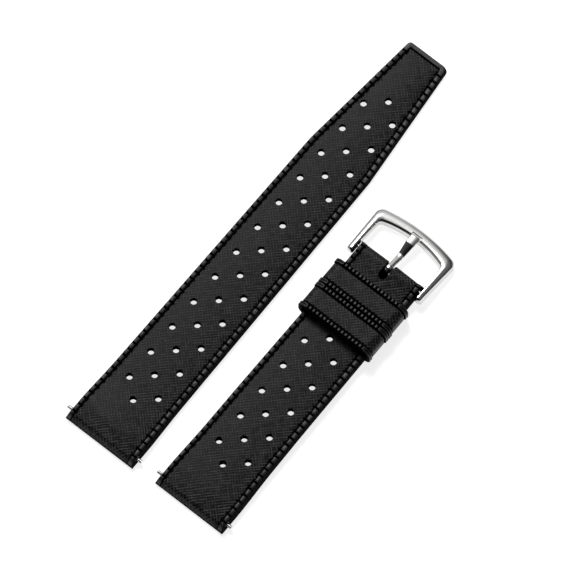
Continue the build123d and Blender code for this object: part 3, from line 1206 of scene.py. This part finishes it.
@dataclass
class Keeper:
    """A rubber loop with a bead round each mouth, notched across the top.

    A mouth step holds a place from the loop's mouth, the share of the bead's rise on top and the
    share on the sides. A groove step holds the same, with the place from the bead's inner end.
    """

    name: str
    node: str
    body: str
    centre_x: float
    start_y: float
    width: float = 6.9
    inner_half: float = 9.25
    inner_ease: float = 0.1
    inner_corner: float = 0.2
    wall: float = 0.9
    inner_height: float = 4.45
    corner: float = 2.0
    bead_width: float = 1.05
    bead_rise: float = 0.3
    foot: float = 0.15
    notch_pitch: float = 1.03
    notch_gap: float = 0.42
    notch_depth: float = 0.42
    notch_steps: tuple[Point2, ...] = ((-0.07, 0.0), (0.01, 0.15), (0.06, 1.0))
    blocks: int = 17
    flat_half: float = 8.15
    notched_half: float = 8.1
    mouth_soft: float = 0.08
    mouth_depth: float = 0.1
    corner_steps: int = 9
    mouth_steps: tuple[Point3, ...] = (
        (0.0, 0.3, 0.5),
        (0.04, 0.55, 0.8),
        (0.12, 0.9, 0.98),
        (0.2, 1.0, 1.0),
        (0.36, 1.0, 0.95),
        (0.46, 1.0, 0.45),
        (0.6, 1.0, 0.45),
        (0.7, 1.0, 0.95),
    )
    groove_steps: tuple[Point3, ...] = (
        (-0.22, 1.0, 1.0),
        (-0.14, 0.9, 0.98),
        (-0.07, 0.5, 0.7),
        (-0.04, -0.35, 0.2),
        (0.02, -0.5, -0.3),
        (0.2, -0.5, -0.3),
        (0.28, -0.15, -0.1),
        (0.36, 0.0, 0.0),
        (0.8, 0.0, 0.0),
    )

    def ring(self, rise: float) -> list[Point2]:
        """Outer section of the loop, raised by an amount, as across and height.

        Args:
            rise: How far out of the body the section lies.

        Returns:
            Places in order round the section, always the same number.
        """
        half = self.inner_half + self.wall + rise
        top = self.inner_height + 2 * self.wall + rise
        bottom = self.foot * (1 - rise / self.bead_rise)
        radius = self.corner + rise
        return self.loop_of(half, bottom, top, radius)

    def loop_of(self, half: float, bottom: float, top: float, radius: float) -> list[Point2]:
        """A rounded box section.

        Args:
            half: Half its width.
            bottom: Its lowest height.
            top: Its highest height.
            radius: Its corner radius.

        Returns:
            Places in order round it.
        """
        stretch, flat = half - radius, self.inner_half + self.wall - self.corner
        places: list[Point2] = []
        for x, _ in self.top_stations():
            places.append((x * stretch / flat if abs(x) > self.notched_half else x, top))
        for sx, sy, first in ((1, 1, 90), (1, -1, 0), (-1, -1, -90), (-1, 1, 180)):
            cx, cz = sx * stretch, (top - radius if sy > 0 else bottom + radius)
            turns = [math.radians(t) for t in np.linspace(first, first - 90, self.corner_steps + 1)]
            if (sx, sy) == (1, 1):
                turns = turns[1:]
            places += [(cx + radius * math.cos(t), cz + radius * math.sin(t)) for t in turns]
            if (sx, sy) == (1, -1):
                places += [(x, bottom) for x in np.linspace(cx, -cx, 14)[1:-1]]
        return places[:-1]

    def top_stations(self) -> list[tuple[float, float]]:
        """Stations across the top, each with how much of a notch is cut there.

        Returns:
            Pairs of place across and share of the notch.
        """
        falling = [(step - self.notch_gap / 2, share) for step, share in self.notch_steps]
        notch = falling + [(-shift, share) for shift, share in reversed(falling)]
        stations = [(-self.flat_half, 0.0)]
        for index in range(self.blocks + 1):
            middle = (index - self.blocks / 2) * self.notch_pitch
            for shift, share in notch:
                if abs(middle + shift) < self.notched_half:
                    stations.append((middle + shift, share))
        return [*stations, (self.flat_half, 0.0)]

    def bead_stations(self) -> list[Point3]:
        """Stations along the keeper's width, each with the height of its blocks and plain bead.

        Returns:
            Place along the keeper, share of the bead's rise on top, and share on the sides.
        """
        near = list(self.mouth_steps)
        near += [(self.bead_width + step, top, side) for step, top, side in self.groove_steps]
        return near + [(self.width - y, top, side) for y, top, side in reversed(near)]

    def build(self) -> bpy.types.Object:
        """Builds the loop as a closed solid.

        Returns:
            The new piece.
        """
        shares = [share for _, share in self.top_stations()]
        plain, raised = self.ring(0.0), self.ring(self.bead_rise)
        count, stations = len(plain), self.bead_stations()
        points: list[Point3] = []
        for along, top, side in stations:
            for index, (low, high) in enumerate(zip(plain, raised)):
                rise = side
                if index < len(shares):
                    rise = top - shares[index] * self.notch_depth / self.bead_rise if top > 0 else top
                across = self.centre_x + low[0] + (high[0] - low[0]) * rise
                points.append((across, self.start_y + along, low[1] + (high[1] - low[1]) * rise))
        half, floor = self.inner_half + self.inner_ease, self.wall
        ceiling = self.wall + self.inner_height
        soft, deep = self.mouth_soft, self.mouth_depth
        for along, out in ((self.width, soft), (self.width - deep, 0.0), (deep, 0.0), (0.0, soft)):
            inner = self.loop_of(half + out, floor - out, ceiling + out, self.inner_corner + out)
            points += [(self.centre_x + x, self.start_y + along, z) for x, z in inner]
        faces = ring_faces(len(stations) + 4, count)
        zones = [self.zone_of(*divmod(face, count), shares, stations) for face in range(len(faces))]
        loop = mesh_piece(self.name, points, faces, 45.0, zones)
        even_shading(loop)
        return loop

    def zone_of(
        self,
        row: int,
        column: int,
        shares: Sequence[float],
        stations: Sequence[Point3],
    ) -> int:
        """Which rubber a face of the loop shows.

        Args:
            row: Number of the face's row of stations.
            column: Number of the face round the loop.
            shares: Share of a notch at each place across the top.
            stations: Stations along the keeper's width.

        Returns:
            Number of the zone.
        """
        if row >= len(stations) - 1:
            return Zone.SIDE.value
        low, high = stations[row][1:], stations[row + 1][1:]
        lower, upper = min(low[0], high[0]), max(low[0], high[0])
        if lower < -0.01:
            return Zone.HOLLOW.value
        if upper < 0.01:
            return Zone.WOVEN.value
        if column < len(shares) - 1:
            raised = max(shares[column], shares[column + 1]) < 0.5 and lower > 0.98
        else:
            raised = max(low[1], high[1]) >= 0.5
        return Zone.BEAD.value if raised else Zone.HOLLOW.value

    def dress(self, piece: bpy.types.Object, rubbers: Sequence[bpy.types.Material]) -> None:
        """Gives the loop its rubber and its place in the frame.

        Args:
            piece: The loop.
            rubbers: The rubber finishes in the order of the zones.
        """
        dress(piece, *rubbers)
        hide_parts(self.node)
        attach(piece, self.body)


# ----------------------------------------------------------------- spring bars


@dataclass
class SpringBar:
    """A sprung bar: drawn tube, two turned tips and a fine coil spring."""

    name: str
    joint: str
    centre: Point3
    half: float
    coil_radius: float = 0.38
    wire_radius: float = 0.07
    turns: int = 16
    turn_steps: int = 18
    wire_sides: int = 8

    def build(self) -> bpy.types.Object:
        """Winds the coil spring as a round wire.

        Returns:
            The new piece.
        """
        steps, around = self.turns * self.turn_steps, self.wire_sides
        points: list[Point3] = []
        for step in range(steps + 1):
            turn = 2 * math.pi * step / self.turn_steps
            x = -self.half + 2 * self.half * step / steps
            out = Vector((0.0, math.cos(turn), math.sin(turn)))
            middle = Vector(self.centre) + Vector((x, 0.0, 0.0)) + out * self.coil_radius
            for side in range(around):
                bend = 2 * math.pi * side / around
                spoke = out * math.cos(bend) + Vector((1.0, 0.0, 0.0)) * math.sin(bend)
                points.append(tuple(middle + spoke * self.wire_radius))
        return mesh_piece(f"{self.name}_coil", points, tube_faces(steps + 1, around), 60.0)

    def dress(
        self,
        coil: bpy.types.Object,
        drawn: bpy.types.Material,
        tube: bpy.types.Material,
        satin: bpy.types.Material,
        nodes: dict[str, bpy.types.Object],
    ) -> None:
        """Finishes the coil and the bar's own solids.

        Args:
            coil: The wound spring.
            drawn: Steel of the spring.
            tube: Steel of the tube, painted near black as shade.
            satin: Steel of the tips.
            nodes: The solids by name.
        """
        dress(coil, drawn)
        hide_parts(f"{self.name}_spring")
        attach(coil, "straps")
        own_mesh(coil)
        dress(nodes[f"{self.name}_tube"], tube)
        for word in ("left", "right"):
            dress(nodes[f"{self.name}_tip_{word}"], satin)


# ---------------------------------------------------------------------- buckle


@dataclass(frozen=True)
class LeaningPlane:
    """The plane of the buckle, which leans from the pin down to the table."""

    pin: Point3 = BUCKLE_PIN
    lean: float = 6.0

    def at(self, across: float, along: float, up: float) -> Point3:
        """A place of the buckle in the row frame.

        Args:
            across: Place to the right of the pin's middle.
            along: Place along the buckle from the pin.
            up: Place above the plane.

        Returns:
            The place in the row frame.
        """
        x, y, z = self.pin
        cosine, sine = math.cos(math.radians(self.lean)), math.sin(math.radians(self.lean))
        return (x + across, y + along * cosine + up * sine, z - along * sine + up * cosine)


@dataclass
class BuckleFrame:
    """The steel frame: two arms and a bowed front bar, domed outside and bevelled inside.

    A bevel step is a place on the inner bevel, inward and down, as shares of its width. The end
    steps are distances from an arm's rounded end.
    """

    plane: LeaningPlane = field(default_factory=LeaningPlane)
    outer_arm: tuple[Point2, ...] = ((10.75, -2.2), (11.25, 10.9))
    inner_arm: tuple[Point2, ...] = ((9.1, -2.2), (9.1, 3.0), (8.85, 7.9))
    outer_front: float = 12.45
    inner_front: float = 9.4
    outer_corner: float = 2.2
    inner_corner: float = 1.2
    half_thickness: float = 1.15
    dome_start: float = -0.15
    dome_share: float = 0.64
    arm_bevel: float = 0.42
    front_bevel: float = 0.5
    bevel_start: float = 6.0
    bevel_run: float = 4.5
    bevel_steps: tuple[Point2, ...] = ((1.0, 0.0), (0.8, 0.08), (0.15, 0.85), (0.0, 1.1))
    end_round: float = 0.6
    end_steps: tuple[float, ...] = (0.0, 0.04, 0.12, 0.26, 0.42)
    end_narrow: float = 0.95
    end_flat: float = 0.3
    corner_steps: int = 10
    pin_radius: float = 0.49
    pin_reach: float = 10.05
    rest_half_width: float = 1.35
    rest_depth: float = 0.3
    rest_start: float = 8.0
    rest_end: float = 10.5
    rest_top: float = 3.0

    def half_path(self, arm: Sequence[Point2], front: float, corner: float) -> list[Point2]:
        """Runs from the end of the right arm round its corner to the middle of the front.

        Args:
            arm: Corner places along the arm, the last one at the front corner.
            front: How far the middle of the front lies from the pin.
            corner: Radius of the front corner.

        Returns:
            Places that pair up with those of the other edge.
        """
        wide, start = arm[-1]
        bow = (wide**2 + (front - start) ** 2) / (2 * (front - start))
        across = np.linspace(wide - 2.2, 0.0, 12)
        bowed = [(x, front - bow + math.sqrt(bow**2 - x**2)) for x in across]
        radii = [0.0] * (len(arm) - 2) + [corner] + [0.0] * (len(bowed) - 1)
        path = rounded_path([*arm, *bowed], radii, self.corner_steps)
        turn = len(arm) - 1
        bent = turn + self.corner_steps
        side, bend, rest = path[: turn + 1], path[turn : bent + 1], path[bent:]
        length = sum(math.dist(a, b) for a, b in zip(side, side[1:]))
        shares = [gap / length for gap in self.end_steps]
        shares += list(np.linspace(self.end_round / length, 1.0, 12))
        return [*spaced(side, shares)[:-1], *bend, *spaced(rest, np.linspace(0, 1, 16))[1:]]

    def section(self, width: float, bevel: float) -> list[Point2]:
        """Section of the frame, as distance from the outer edge and height.

        Args:
            width: Width of the bar.
            bevel: Width of the inner bevel.

        Returns:
            The section's places, always the same number.
        """
        top, low = self.half_thickness, -self.half_thickness
        soft, dome, bevel = min(0.12, width / 5), self.dome_share * width, min(bevel, width * 0.34)
        near, rise = soft * SOFT_SHARE, top - self.dome_start
        places = [(soft, low), (near, low + near), (0.0, low + soft), (0.0, self.dome_start)]
        for turn in np.linspace(0, math.pi / 2, 11)[1:]:
            places.append((dome * (1 - math.cos(turn)), self.dome_start + rise * math.sin(turn)))
        places += [(width - bevel * inward, top - bevel * down) for inward, down in self.bevel_steps]
        return places + [(width, low + soft), (width - near, low + near), (width - soft, low)]

    def stations(self) -> list[list[Point3]]:
        """Sections of the frame's right half, from the arm's end to the middle of the front.

        Returns:
            Sections as across, along and up.
        """
        outer = self.half_path(self.outer_arm, self.outer_front, self.outer_corner)
        inner = self.half_path(self.inner_arm, self.inner_front, self.inner_corner)
        rows = []
        for (ox, oy), (ix, iy) in zip(outer, inner):
            width = math.hypot(ix - ox, iy - oy)
            way = ((ix - ox) / width, (iy - oy) / width)
            past = min(1.0, max(0.0, (oy - self.outer_arm[0][1]) / self.end_round))
            shrink = self.end_round * (1 - math.sqrt(1 - (1 - past) ** 2)) * self.end_narrow
            flat = 1.0 - self.end_flat * (1 - past) ** 2
            turned = min(1.0, max(0.0, (oy - self.bevel_start) / self.bevel_run))
            bevel = self.arm_bevel + (self.front_bevel - self.arm_bevel) * turned
            rows.append([
                (ox + way[0] * (shrink + gap), oy + way[1] * (shrink + gap), up * flat)
                for gap, up in self.section(width - 2 * shrink, bevel)
            ])
        return rows

    def build(self) -> bpy.types.Object:
        """Builds the frame, with the holes of its pin and the rest of the tongue.

        Returns:
            The new piece.
        """
        right = self.stations()
        rows = right + [[(-x, y, z) for x, y, z in row] for row in reversed(right[:-1])]
        points = [self.plane.at(*place) for row in rows for place in row]
        made = mesh_piece("frame_bow", points, tube_faces(len(rows), len(rows[0])), 42.0)
        low, half = self.half_thickness - self.rest_depth, self.rest_half_width
        start, end = self.rest_start, self.rest_end
        plan = ((-half, start), (half, start), (half, end), (-half, end))
        corners = [self.plane.at(x, y, z) for z in (low, self.rest_top) for x, y in plan]
        sides = [(0, 3, 2, 1), (4, 5, 6, 7), (0, 1, 5, 4), (1, 2, 6, 5), (2, 3, 7, 6), (3, 0, 4, 7)]
        rest = mesh_piece("rest_cutter", corners, sides)
        bore = bore_cutter(self.plane.pin, self.pin_radius, 2 * self.pin_reach)
        for cutter in (rest, bore):
            cut_away(made, cutter)
            bpy.data.objects.remove(cutter)
        even_shading(made)
        return made

    def dress(self, piece: bpy.types.Object, steel: bpy.types.Material) -> None:
        """Gives the frame its steel and its place.

        Args:
            piece: The frame.
            steel: Its material.
        """
        dress(piece, steel)
        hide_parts("buckle_frame")
        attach(piece, "frame")


@dataclass
class BuckleTongue:
    """The steel tongue: a loop round the bar, and a crowned blade that ends on the front bar.

    A blade run is a start, an end and how many sections lie between them.
    """

    plane: LeaningPlane = field(default_factory=LeaningPlane)
    loop_inner: float = 0.79
    loop_outer: float = 1.34
    upper: tuple[Point2, ...] = ((0.0, 1.34), (4.2, 0.35), (7.6, 1.67), (10.2, 1.67), (10.2, 0.87))
    upper_rounds: tuple[float, ...] = (2.2, 2.2, 0.7)
    lower: tuple[Point2, ...] = ((0.0, 0.54), (4.2, -0.45), (7.6, 0.87), (10.2, 0.87))
    lower_rounds: tuple[float, ...] = (2.2, 2.2)
    halves: tuple[Point2, ...] = ((0.0, 0.65), (4.2, 0.8), (7.6, 1.15), (10.2, 1.15))
    loop_soft: float = 0.12
    loop_steps: int = 40
    blade_runs: tuple[Point3, ...] = ((0.0, 2.8, 6), (3.2, 5.4, 12), (5.8, 8.8, 14))
    last_run: float = 9.0
    tip_round: float = 0.7
    tip_gap: float = 0.004
    crown: float = 0.1
    soft: float = 0.16
    foot_soft: float = 0.08

    def build_loop(self) -> bpy.types.Object:
        """Turns the loop round the bar tube.

        Returns:
            The new piece.
        """
        half, soft, steps = self.halves[0][1], self.loop_soft, self.loop_steps
        inner, outer = self.loop_inner, self.loop_outer
        section = [(-half, inner), (-half, outer - soft), (-half + soft, outer)]
        section += [(-x, r) for x, r in reversed(section)]
        points = []
        for step in range(steps):
            turn = 2 * math.pi * step / steps
            points += [self.plane.at(x, r * math.cos(turn), r * math.sin(turn)) for x, r in section]
        made = mesh_piece("tongue_loop", points, ring_faces(steps, len(section)), 50.0)
        even_shading(made)
        return made

    def build_blade(self) -> bpy.types.Object:
        """Builds the blade as a closed solid.

        Returns:
            The new piece.
        """
        top = np.array(rounded_path(self.upper, self.upper_rounds, 10))
        under = np.array(rounded_path(self.lower, self.lower_rounds, 10))
        length = self.lower[-1][0]
        runs = (*self.blade_runs, (self.last_run, length - self.tip_round, 4))
        marks = [place for start, end, count in runs for place in np.linspace(start, end, count)]
        turns = np.linspace(0, math.pi / 2, 9)[1:-1]
        marks += [length - self.tip_round * (1 - math.sin(turn)) for turn in turns]
        marks.append(length - self.tip_gap)
        points = []
        for along in marks:
            into = max(0.0, (along - length + self.tip_round) / self.tip_round)
            narrow = self.tip_round * (1 - math.sqrt(max(0.0, 1 - into**2)))
            half = float(np.interp(along, *zip(*self.halves))) - narrow
            high = float(np.interp(along, top[:-1, 0], top[:-1, 1]))
            low = float(np.interp(along, under[:, 0], under[:, 1]))
            soft, foot = min(self.soft, (high - low) / 3), self.foot_soft
            crown = self.crown * (1 - into)
            near = soft * SOFT_SHARE
            section = [(-half + foot, low), (-half, low + foot), (-half, high - soft - crown)]
            section += [(-half + near, high - near - crown), (-half + soft, high - crown * 0.8)]
            section += [(-half * 0.45, high - crown * 0.2), (0.0, high)]
            section += [(-x, z) for x, z in reversed(section[:-1])]
            points += [self.plane.at(x, along, z) for x, z in section]
        faces = tube_faces(len(marks), len(points) // len(marks))
        made = mesh_piece("tongue_blade", points, faces, 50.0)
        even_shading(made)
        return made

    def build(self) -> list[bpy.types.Object]:
        """Builds the tongue.

        Returns:
            Its pieces.
        """
        return [self.build_loop(), self.build_blade()]

    def dress(self, pieces: Sequence[bpy.types.Object], steel: bpy.types.Material) -> None:
        """Gives the tongue its steel and its place.

        Args:
            pieces: The pieces of the tongue.
            steel: Their material.
        """
        for piece in pieces:
            dress(piece, steel)
            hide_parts("buckle_tongue")
            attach(piece, "tongue")


# ---------------------------------------------------------------------- studio


@dataclass
class Studio:
    """Camera, light and ground as in the photograph.

    A sky stop is a height in the room and the light from there. A room share holds an axis, where
    along it the light changes, and the share of the light before and after that.
    """

    focal_pixels: float = 11406.6
    picture: int = 576
    azimuth: float = 38.8139
    elevation: float = 70.8470
    offset: Point3 = (-35.0440, 25.7353, 2582.507)
    target: Point3 = (-13.07, -47.55, 1.0)
    sensor: float = 36.0
    ground_reach: float = 3000.0
    window_place: Point3 = (-0.62, 0.45, 1.1)  # metres
    window_size: float = 0.4  # metres
    window_power: float = 12.0  # watts
    sky_stops: tuple[Point2, ...] = ((0.0, 0.4), (0.25, 0.36), (0.55, 0.52), (0.7, 0.95), (0.9, 1.08))
    room_shares: tuple[tuple[str, float, float, float, float], ...] = (
        ("X", -0.36, 0.0, 1.6, 0.16),
        ("Y", -0.1, 0.16, 0.03, 1.0),
        ("Z", 0.3, 0.6, 0.8, 0.0),
    )

    def axes(self) -> tuple[Vector, Vector, Vector]:
        """Right, up and forward of the camera.

        Returns:
            The three directions in the row frame.
        """
        a, e = math.radians(self.azimuth), math.radians(self.elevation)
        right = Vector((math.cos(a), math.sin(a), 0.0))
        forward = Vector((-math.sin(a) * math.cos(e), math.cos(a) * math.cos(e), -math.sin(e)))
        return right, right.cross(forward), forward

    def build_camera(self) -> bpy.types.Object:
        """Places the camera where the photograph was taken.

        Returns:
            The camera.
        """
        right, up, forward = self.axes()
        x, y, z = self.offset
        place = Vector(self.target) - right * x + up * y - forward * z
        lens = bpy.data.cameras.new("photo_camera")
        lens.sensor_width = self.sensor
        lens.lens = self.focal_pixels / self.picture * self.sensor
        lens.clip_start, lens.clip_end = 0.1, 50.0
        camera = bpy.data.objects.new("photo_camera", lens)
        turned = Matrix((right, up, -forward)).transposed().to_4x4()
        camera.matrix_world = Matrix.Translation(place * MM) @ turned
        bpy.context.scene.collection.objects.link(camera)
        bpy.context.scene.camera = camera
        return camera

    def soft_box(self, name: str, place: Point3, size: float, power: float) -> bpy.types.Object:
        """Adds one soft light that looks at the middle of the table.

        Args:
            name: Name of the light.
            place: Its place in metres.
            size: Its side in metres.
            power: Its power in watts.

        Returns:
            The light.
        """
        lamp = bpy.data.lights.new(name, "AREA")
        lamp.shape, lamp.size, lamp.energy = "SQUARE", size, power
        light = bpy.data.objects.new(name, lamp)
        light.location = place
        light.rotation_euler = (-Vector(place)).to_track_quat("-Z", "Y").to_euler()
        bpy.context.scene.collection.objects.link(light)
        return light

    def build_light(self) -> None:
        """Adds the window and the light of the room, which changes with the direction."""
        self.soft_box("window_light", self.window_place, self.window_size, self.window_power)
        world = bpy.data.worlds.new("room")
        world.use_nodes = True
        nodes, links = world.node_tree.nodes, world.node_tree.links
        place = nodes.new("ShaderNodeTexCoord")
        parts = nodes.new("ShaderNodeSeparateXYZ")
        links.new(place.outputs["Generated"], parts.inputs[0])
        sky = nodes.new("ShaderNodeValToRGB")
        stops = sky.color_ramp.elements
        for _ in self.sky_stops[2:]:
            stops.new(0.5)
        for stop, (height, light) in zip(stops, self.sky_stops):
            stop.position, stop.color = height, (light, light, light, 1.0)
        links.new(parts.outputs["Z"], sky.inputs[0])
        shares = []
        for axis, *limits in self.room_shares:
            share = nodes.new("ShaderNodeMapRange")
            share.interpolation_type = "SMOOTHSTEP"
            for name, value in zip(("From Min", "From Max", "To Min", "To Max"), limits):
                share.inputs[name].default_value = value
            links.new(parts.outputs[axis], share.inputs["Value"])
            shares.append(share.outputs["Result"])
        beside, behind, low_down = shares
        strength = behind
        for operation, other in (("MAXIMUM", low_down), ("MULTIPLY", beside)):
            step = nodes.new("ShaderNodeMath")
            step.operation = operation
            links.new(strength, step.inputs[0])
            links.new(other, step.inputs[1])
            strength = step.outputs[0]
        links.new(sky.outputs[0], nodes["Background"].inputs["Color"])
        links.new(strength, nodes["Background"].inputs["Strength"])
        bpy.context.scene.world = world
        bpy.context.scene.view_settings.view_transform = "Standard"

    def build_ground(self) -> bpy.types.Object:
        """Lays the pale ground.

        Returns:
            The ground.
        """
        low, high = -self.ground_reach, self.ground_reach
        corners = [(low, low, 0.0), (high, low, 0.0), (high, high, 0.0), (low, high, 0.0)]
        ground = mesh_piece("ground", corners, [(0, 1, 2, 3)])
        dress(ground, PaperFinish().material())
        return ground


# ------------------------------------------------------------------------ main


TAIL = StrapShape(
    name="tail",
    node="tail_strap",
    centre_x=-13.07,
    lug_y=-59.9,
    length=119.8,
    stations=[(4.5, 9.75), (18.0, 9.4), (87.0, 8.7), (119.8, 5.65)],
    top_corners=[(0, 1.5), (0.9, 2.85), (5.5, 3.25), (13.5, 2.45), (119.8, 1.8)],
    top_radii=[1.2, 14.0, 30.0],
    under_corners=[(0, 0), (119.8, 0)],
    under_radii=[],
    middle_holes=13,
    last_notch=119.8 - 2.7,
    tipped=True,
)

SHORT = StrapShape(
    name="short",
    node="buckle_strap",
    centre_x=12.52,
    lug_y=-59.29,
    length=73.9,
    stations=[(4.5, 9.75), (18.0, 9.42), (73.9, 9.0)],
    top_corners=[
        (0, 1.5),
        (0.9, 2.85),
        (5.5, 3.25),
        (66.5, 3.25),
        (72.0, 4.05),
        (73.9, 4.05),
        (73.9, 2.55),
    ],
    top_radii=[1.2, 14.0, 3.0, 3.0, 1.48],
    under_corners=[(0, 0), (8, 0), (28, 1.05), (73.9, 1.05), (73.9, 2.55)],
    under_radii=[60.0, 60.0, 1.48],
    middle_holes=6,
    last_notch=73.9 - 0.9,
    tipped=False,
    slot_width=2.1,
    slot_length=4.8,
    slot_through=3.2,
)


def main() -> None:
    """Builds and dresses every part of the scene in order."""
    logging.basicConfig(level=logging.INFO, format="%(name)s: %(message)s")
    nodes = frame["nodes"]
    studio = Studio()
    studio.build_camera()
    studio.build_light()
    studio.build_ground()
    bead = RubberFinish(
        "bead_rubber",
        woven=False,
        dark=(0.008, 0.008, 0.0083),
        light=(0.026, 0.026, 0.0265),
        specular=0.22,
    )
    matt = {"woven": False, "roughness": 0.8}
    # deep is the colour painted on the notches, grooves, perforation walls and slot web: near black with no
    # sheen, as painted shade.
    deep = {"dark": (0.0008,) * 3, "light": (0.003,) * 3}
    # The colour below is painted on side walls, undersides and keeper insides: the same rubber much darker,
    # as painted shade.
    painted_side_shade = {"dark": (0.002,) * 3, "light": (0.007,) * 3}
    painted_hollow_shade = RubberFinish("hollow_rubber_painted_shade", specular=0.0, **deep, **matt)
    # plain holds the side rubber, painted dark as shade.
    plain = RubberFinish("side_rubber_painted_shade", specular=0.02, **painted_side_shade, **matt)
    rubbers = [finish.material() for finish in (RubberFinish("woven_rubber"), bead, painted_hollow_shade, plain)]
    mirror = SteelFinish("mirror_steel", Polish.MIRROR).material()
    satin = SteelFinish("satin_steel", Polish.SATIN).material()
    drawn = SteelFinish("drawn_steel", Polish.DRAWN, (0.5, 0.5, 0.5)).material()
    # The bar tubes' steel is painted near black as shade, where they sit inside the rubber and the buckle's
    # slot.
    painted_shade_tube = SteelFinish("tube_steel_painted_shade", Polish.DRAWN, (0.06, 0.06, 0.06)).material()
    for shape, bores in ((TAIL, [(2.2, 1.45)]), (SHORT, [(2.2, 1.45), (72.4, 2.55)])):
        half = RubberHalf(shape)
        pieces = half.build(bores, BAR_BORE)
        half.dress(pieces, rubbers)
        corners = sum(len(piece.data.vertices) for piece in pieces)
        LOG.info("%s: %d pieces, %d corners", shape.name, len(pieces), corners)
    near_start = BUCKLE_PIN[1] - KEEPER_REACH - Keeper.width
    far_start = near_start - KEEPER_GAP - Keeper.width
    for name, node, body, start in (
        ("keeper_near_loop", "keeper_buckle_side", "keeper_near", near_start),
        ("keeper_far_loop", "keeper_lug_side", "keeper_far", far_start),
    ):
        keeper = Keeper(name, node, body, SHORT.centre_x, start)
        loop = keeper.build()
        keeper.dress(loop, rubbers)
        LOG.info("%s: %d corners", name, len(loop.data.vertices))
    for name, centre, half_length in (
        ("tail_bar", (-13.07, -57.7, 1.45), 7.15),
        ("short_bar", (12.52, -57.09, 1.45), 7.15),
        ("buckle_bar", BUCKLE_PIN, 6.3),
    ):
        bar = SpringBar(name, f"{name}_left_press", centre, half_length)
        bar.dress(bar.build(), drawn, painted_shade_tube, satin, nodes)
        LOG.info("%s: coil wound", name)
    bow = BuckleFrame()
    bow_piece = bow.build()
    bow.dress(bow_piece, mirror)
    LOG.info("buckle frame: %d corners", len(bow_piece.data.vertices))
    tongue = BuckleTongue()
    tongue_pieces = tongue.build()
    tongue.dress(tongue_pieces, mirror)
    LOG.info("buckle tongue: %d pieces", len(tongue_pieces))


if __name__ == "__main__":
    main()
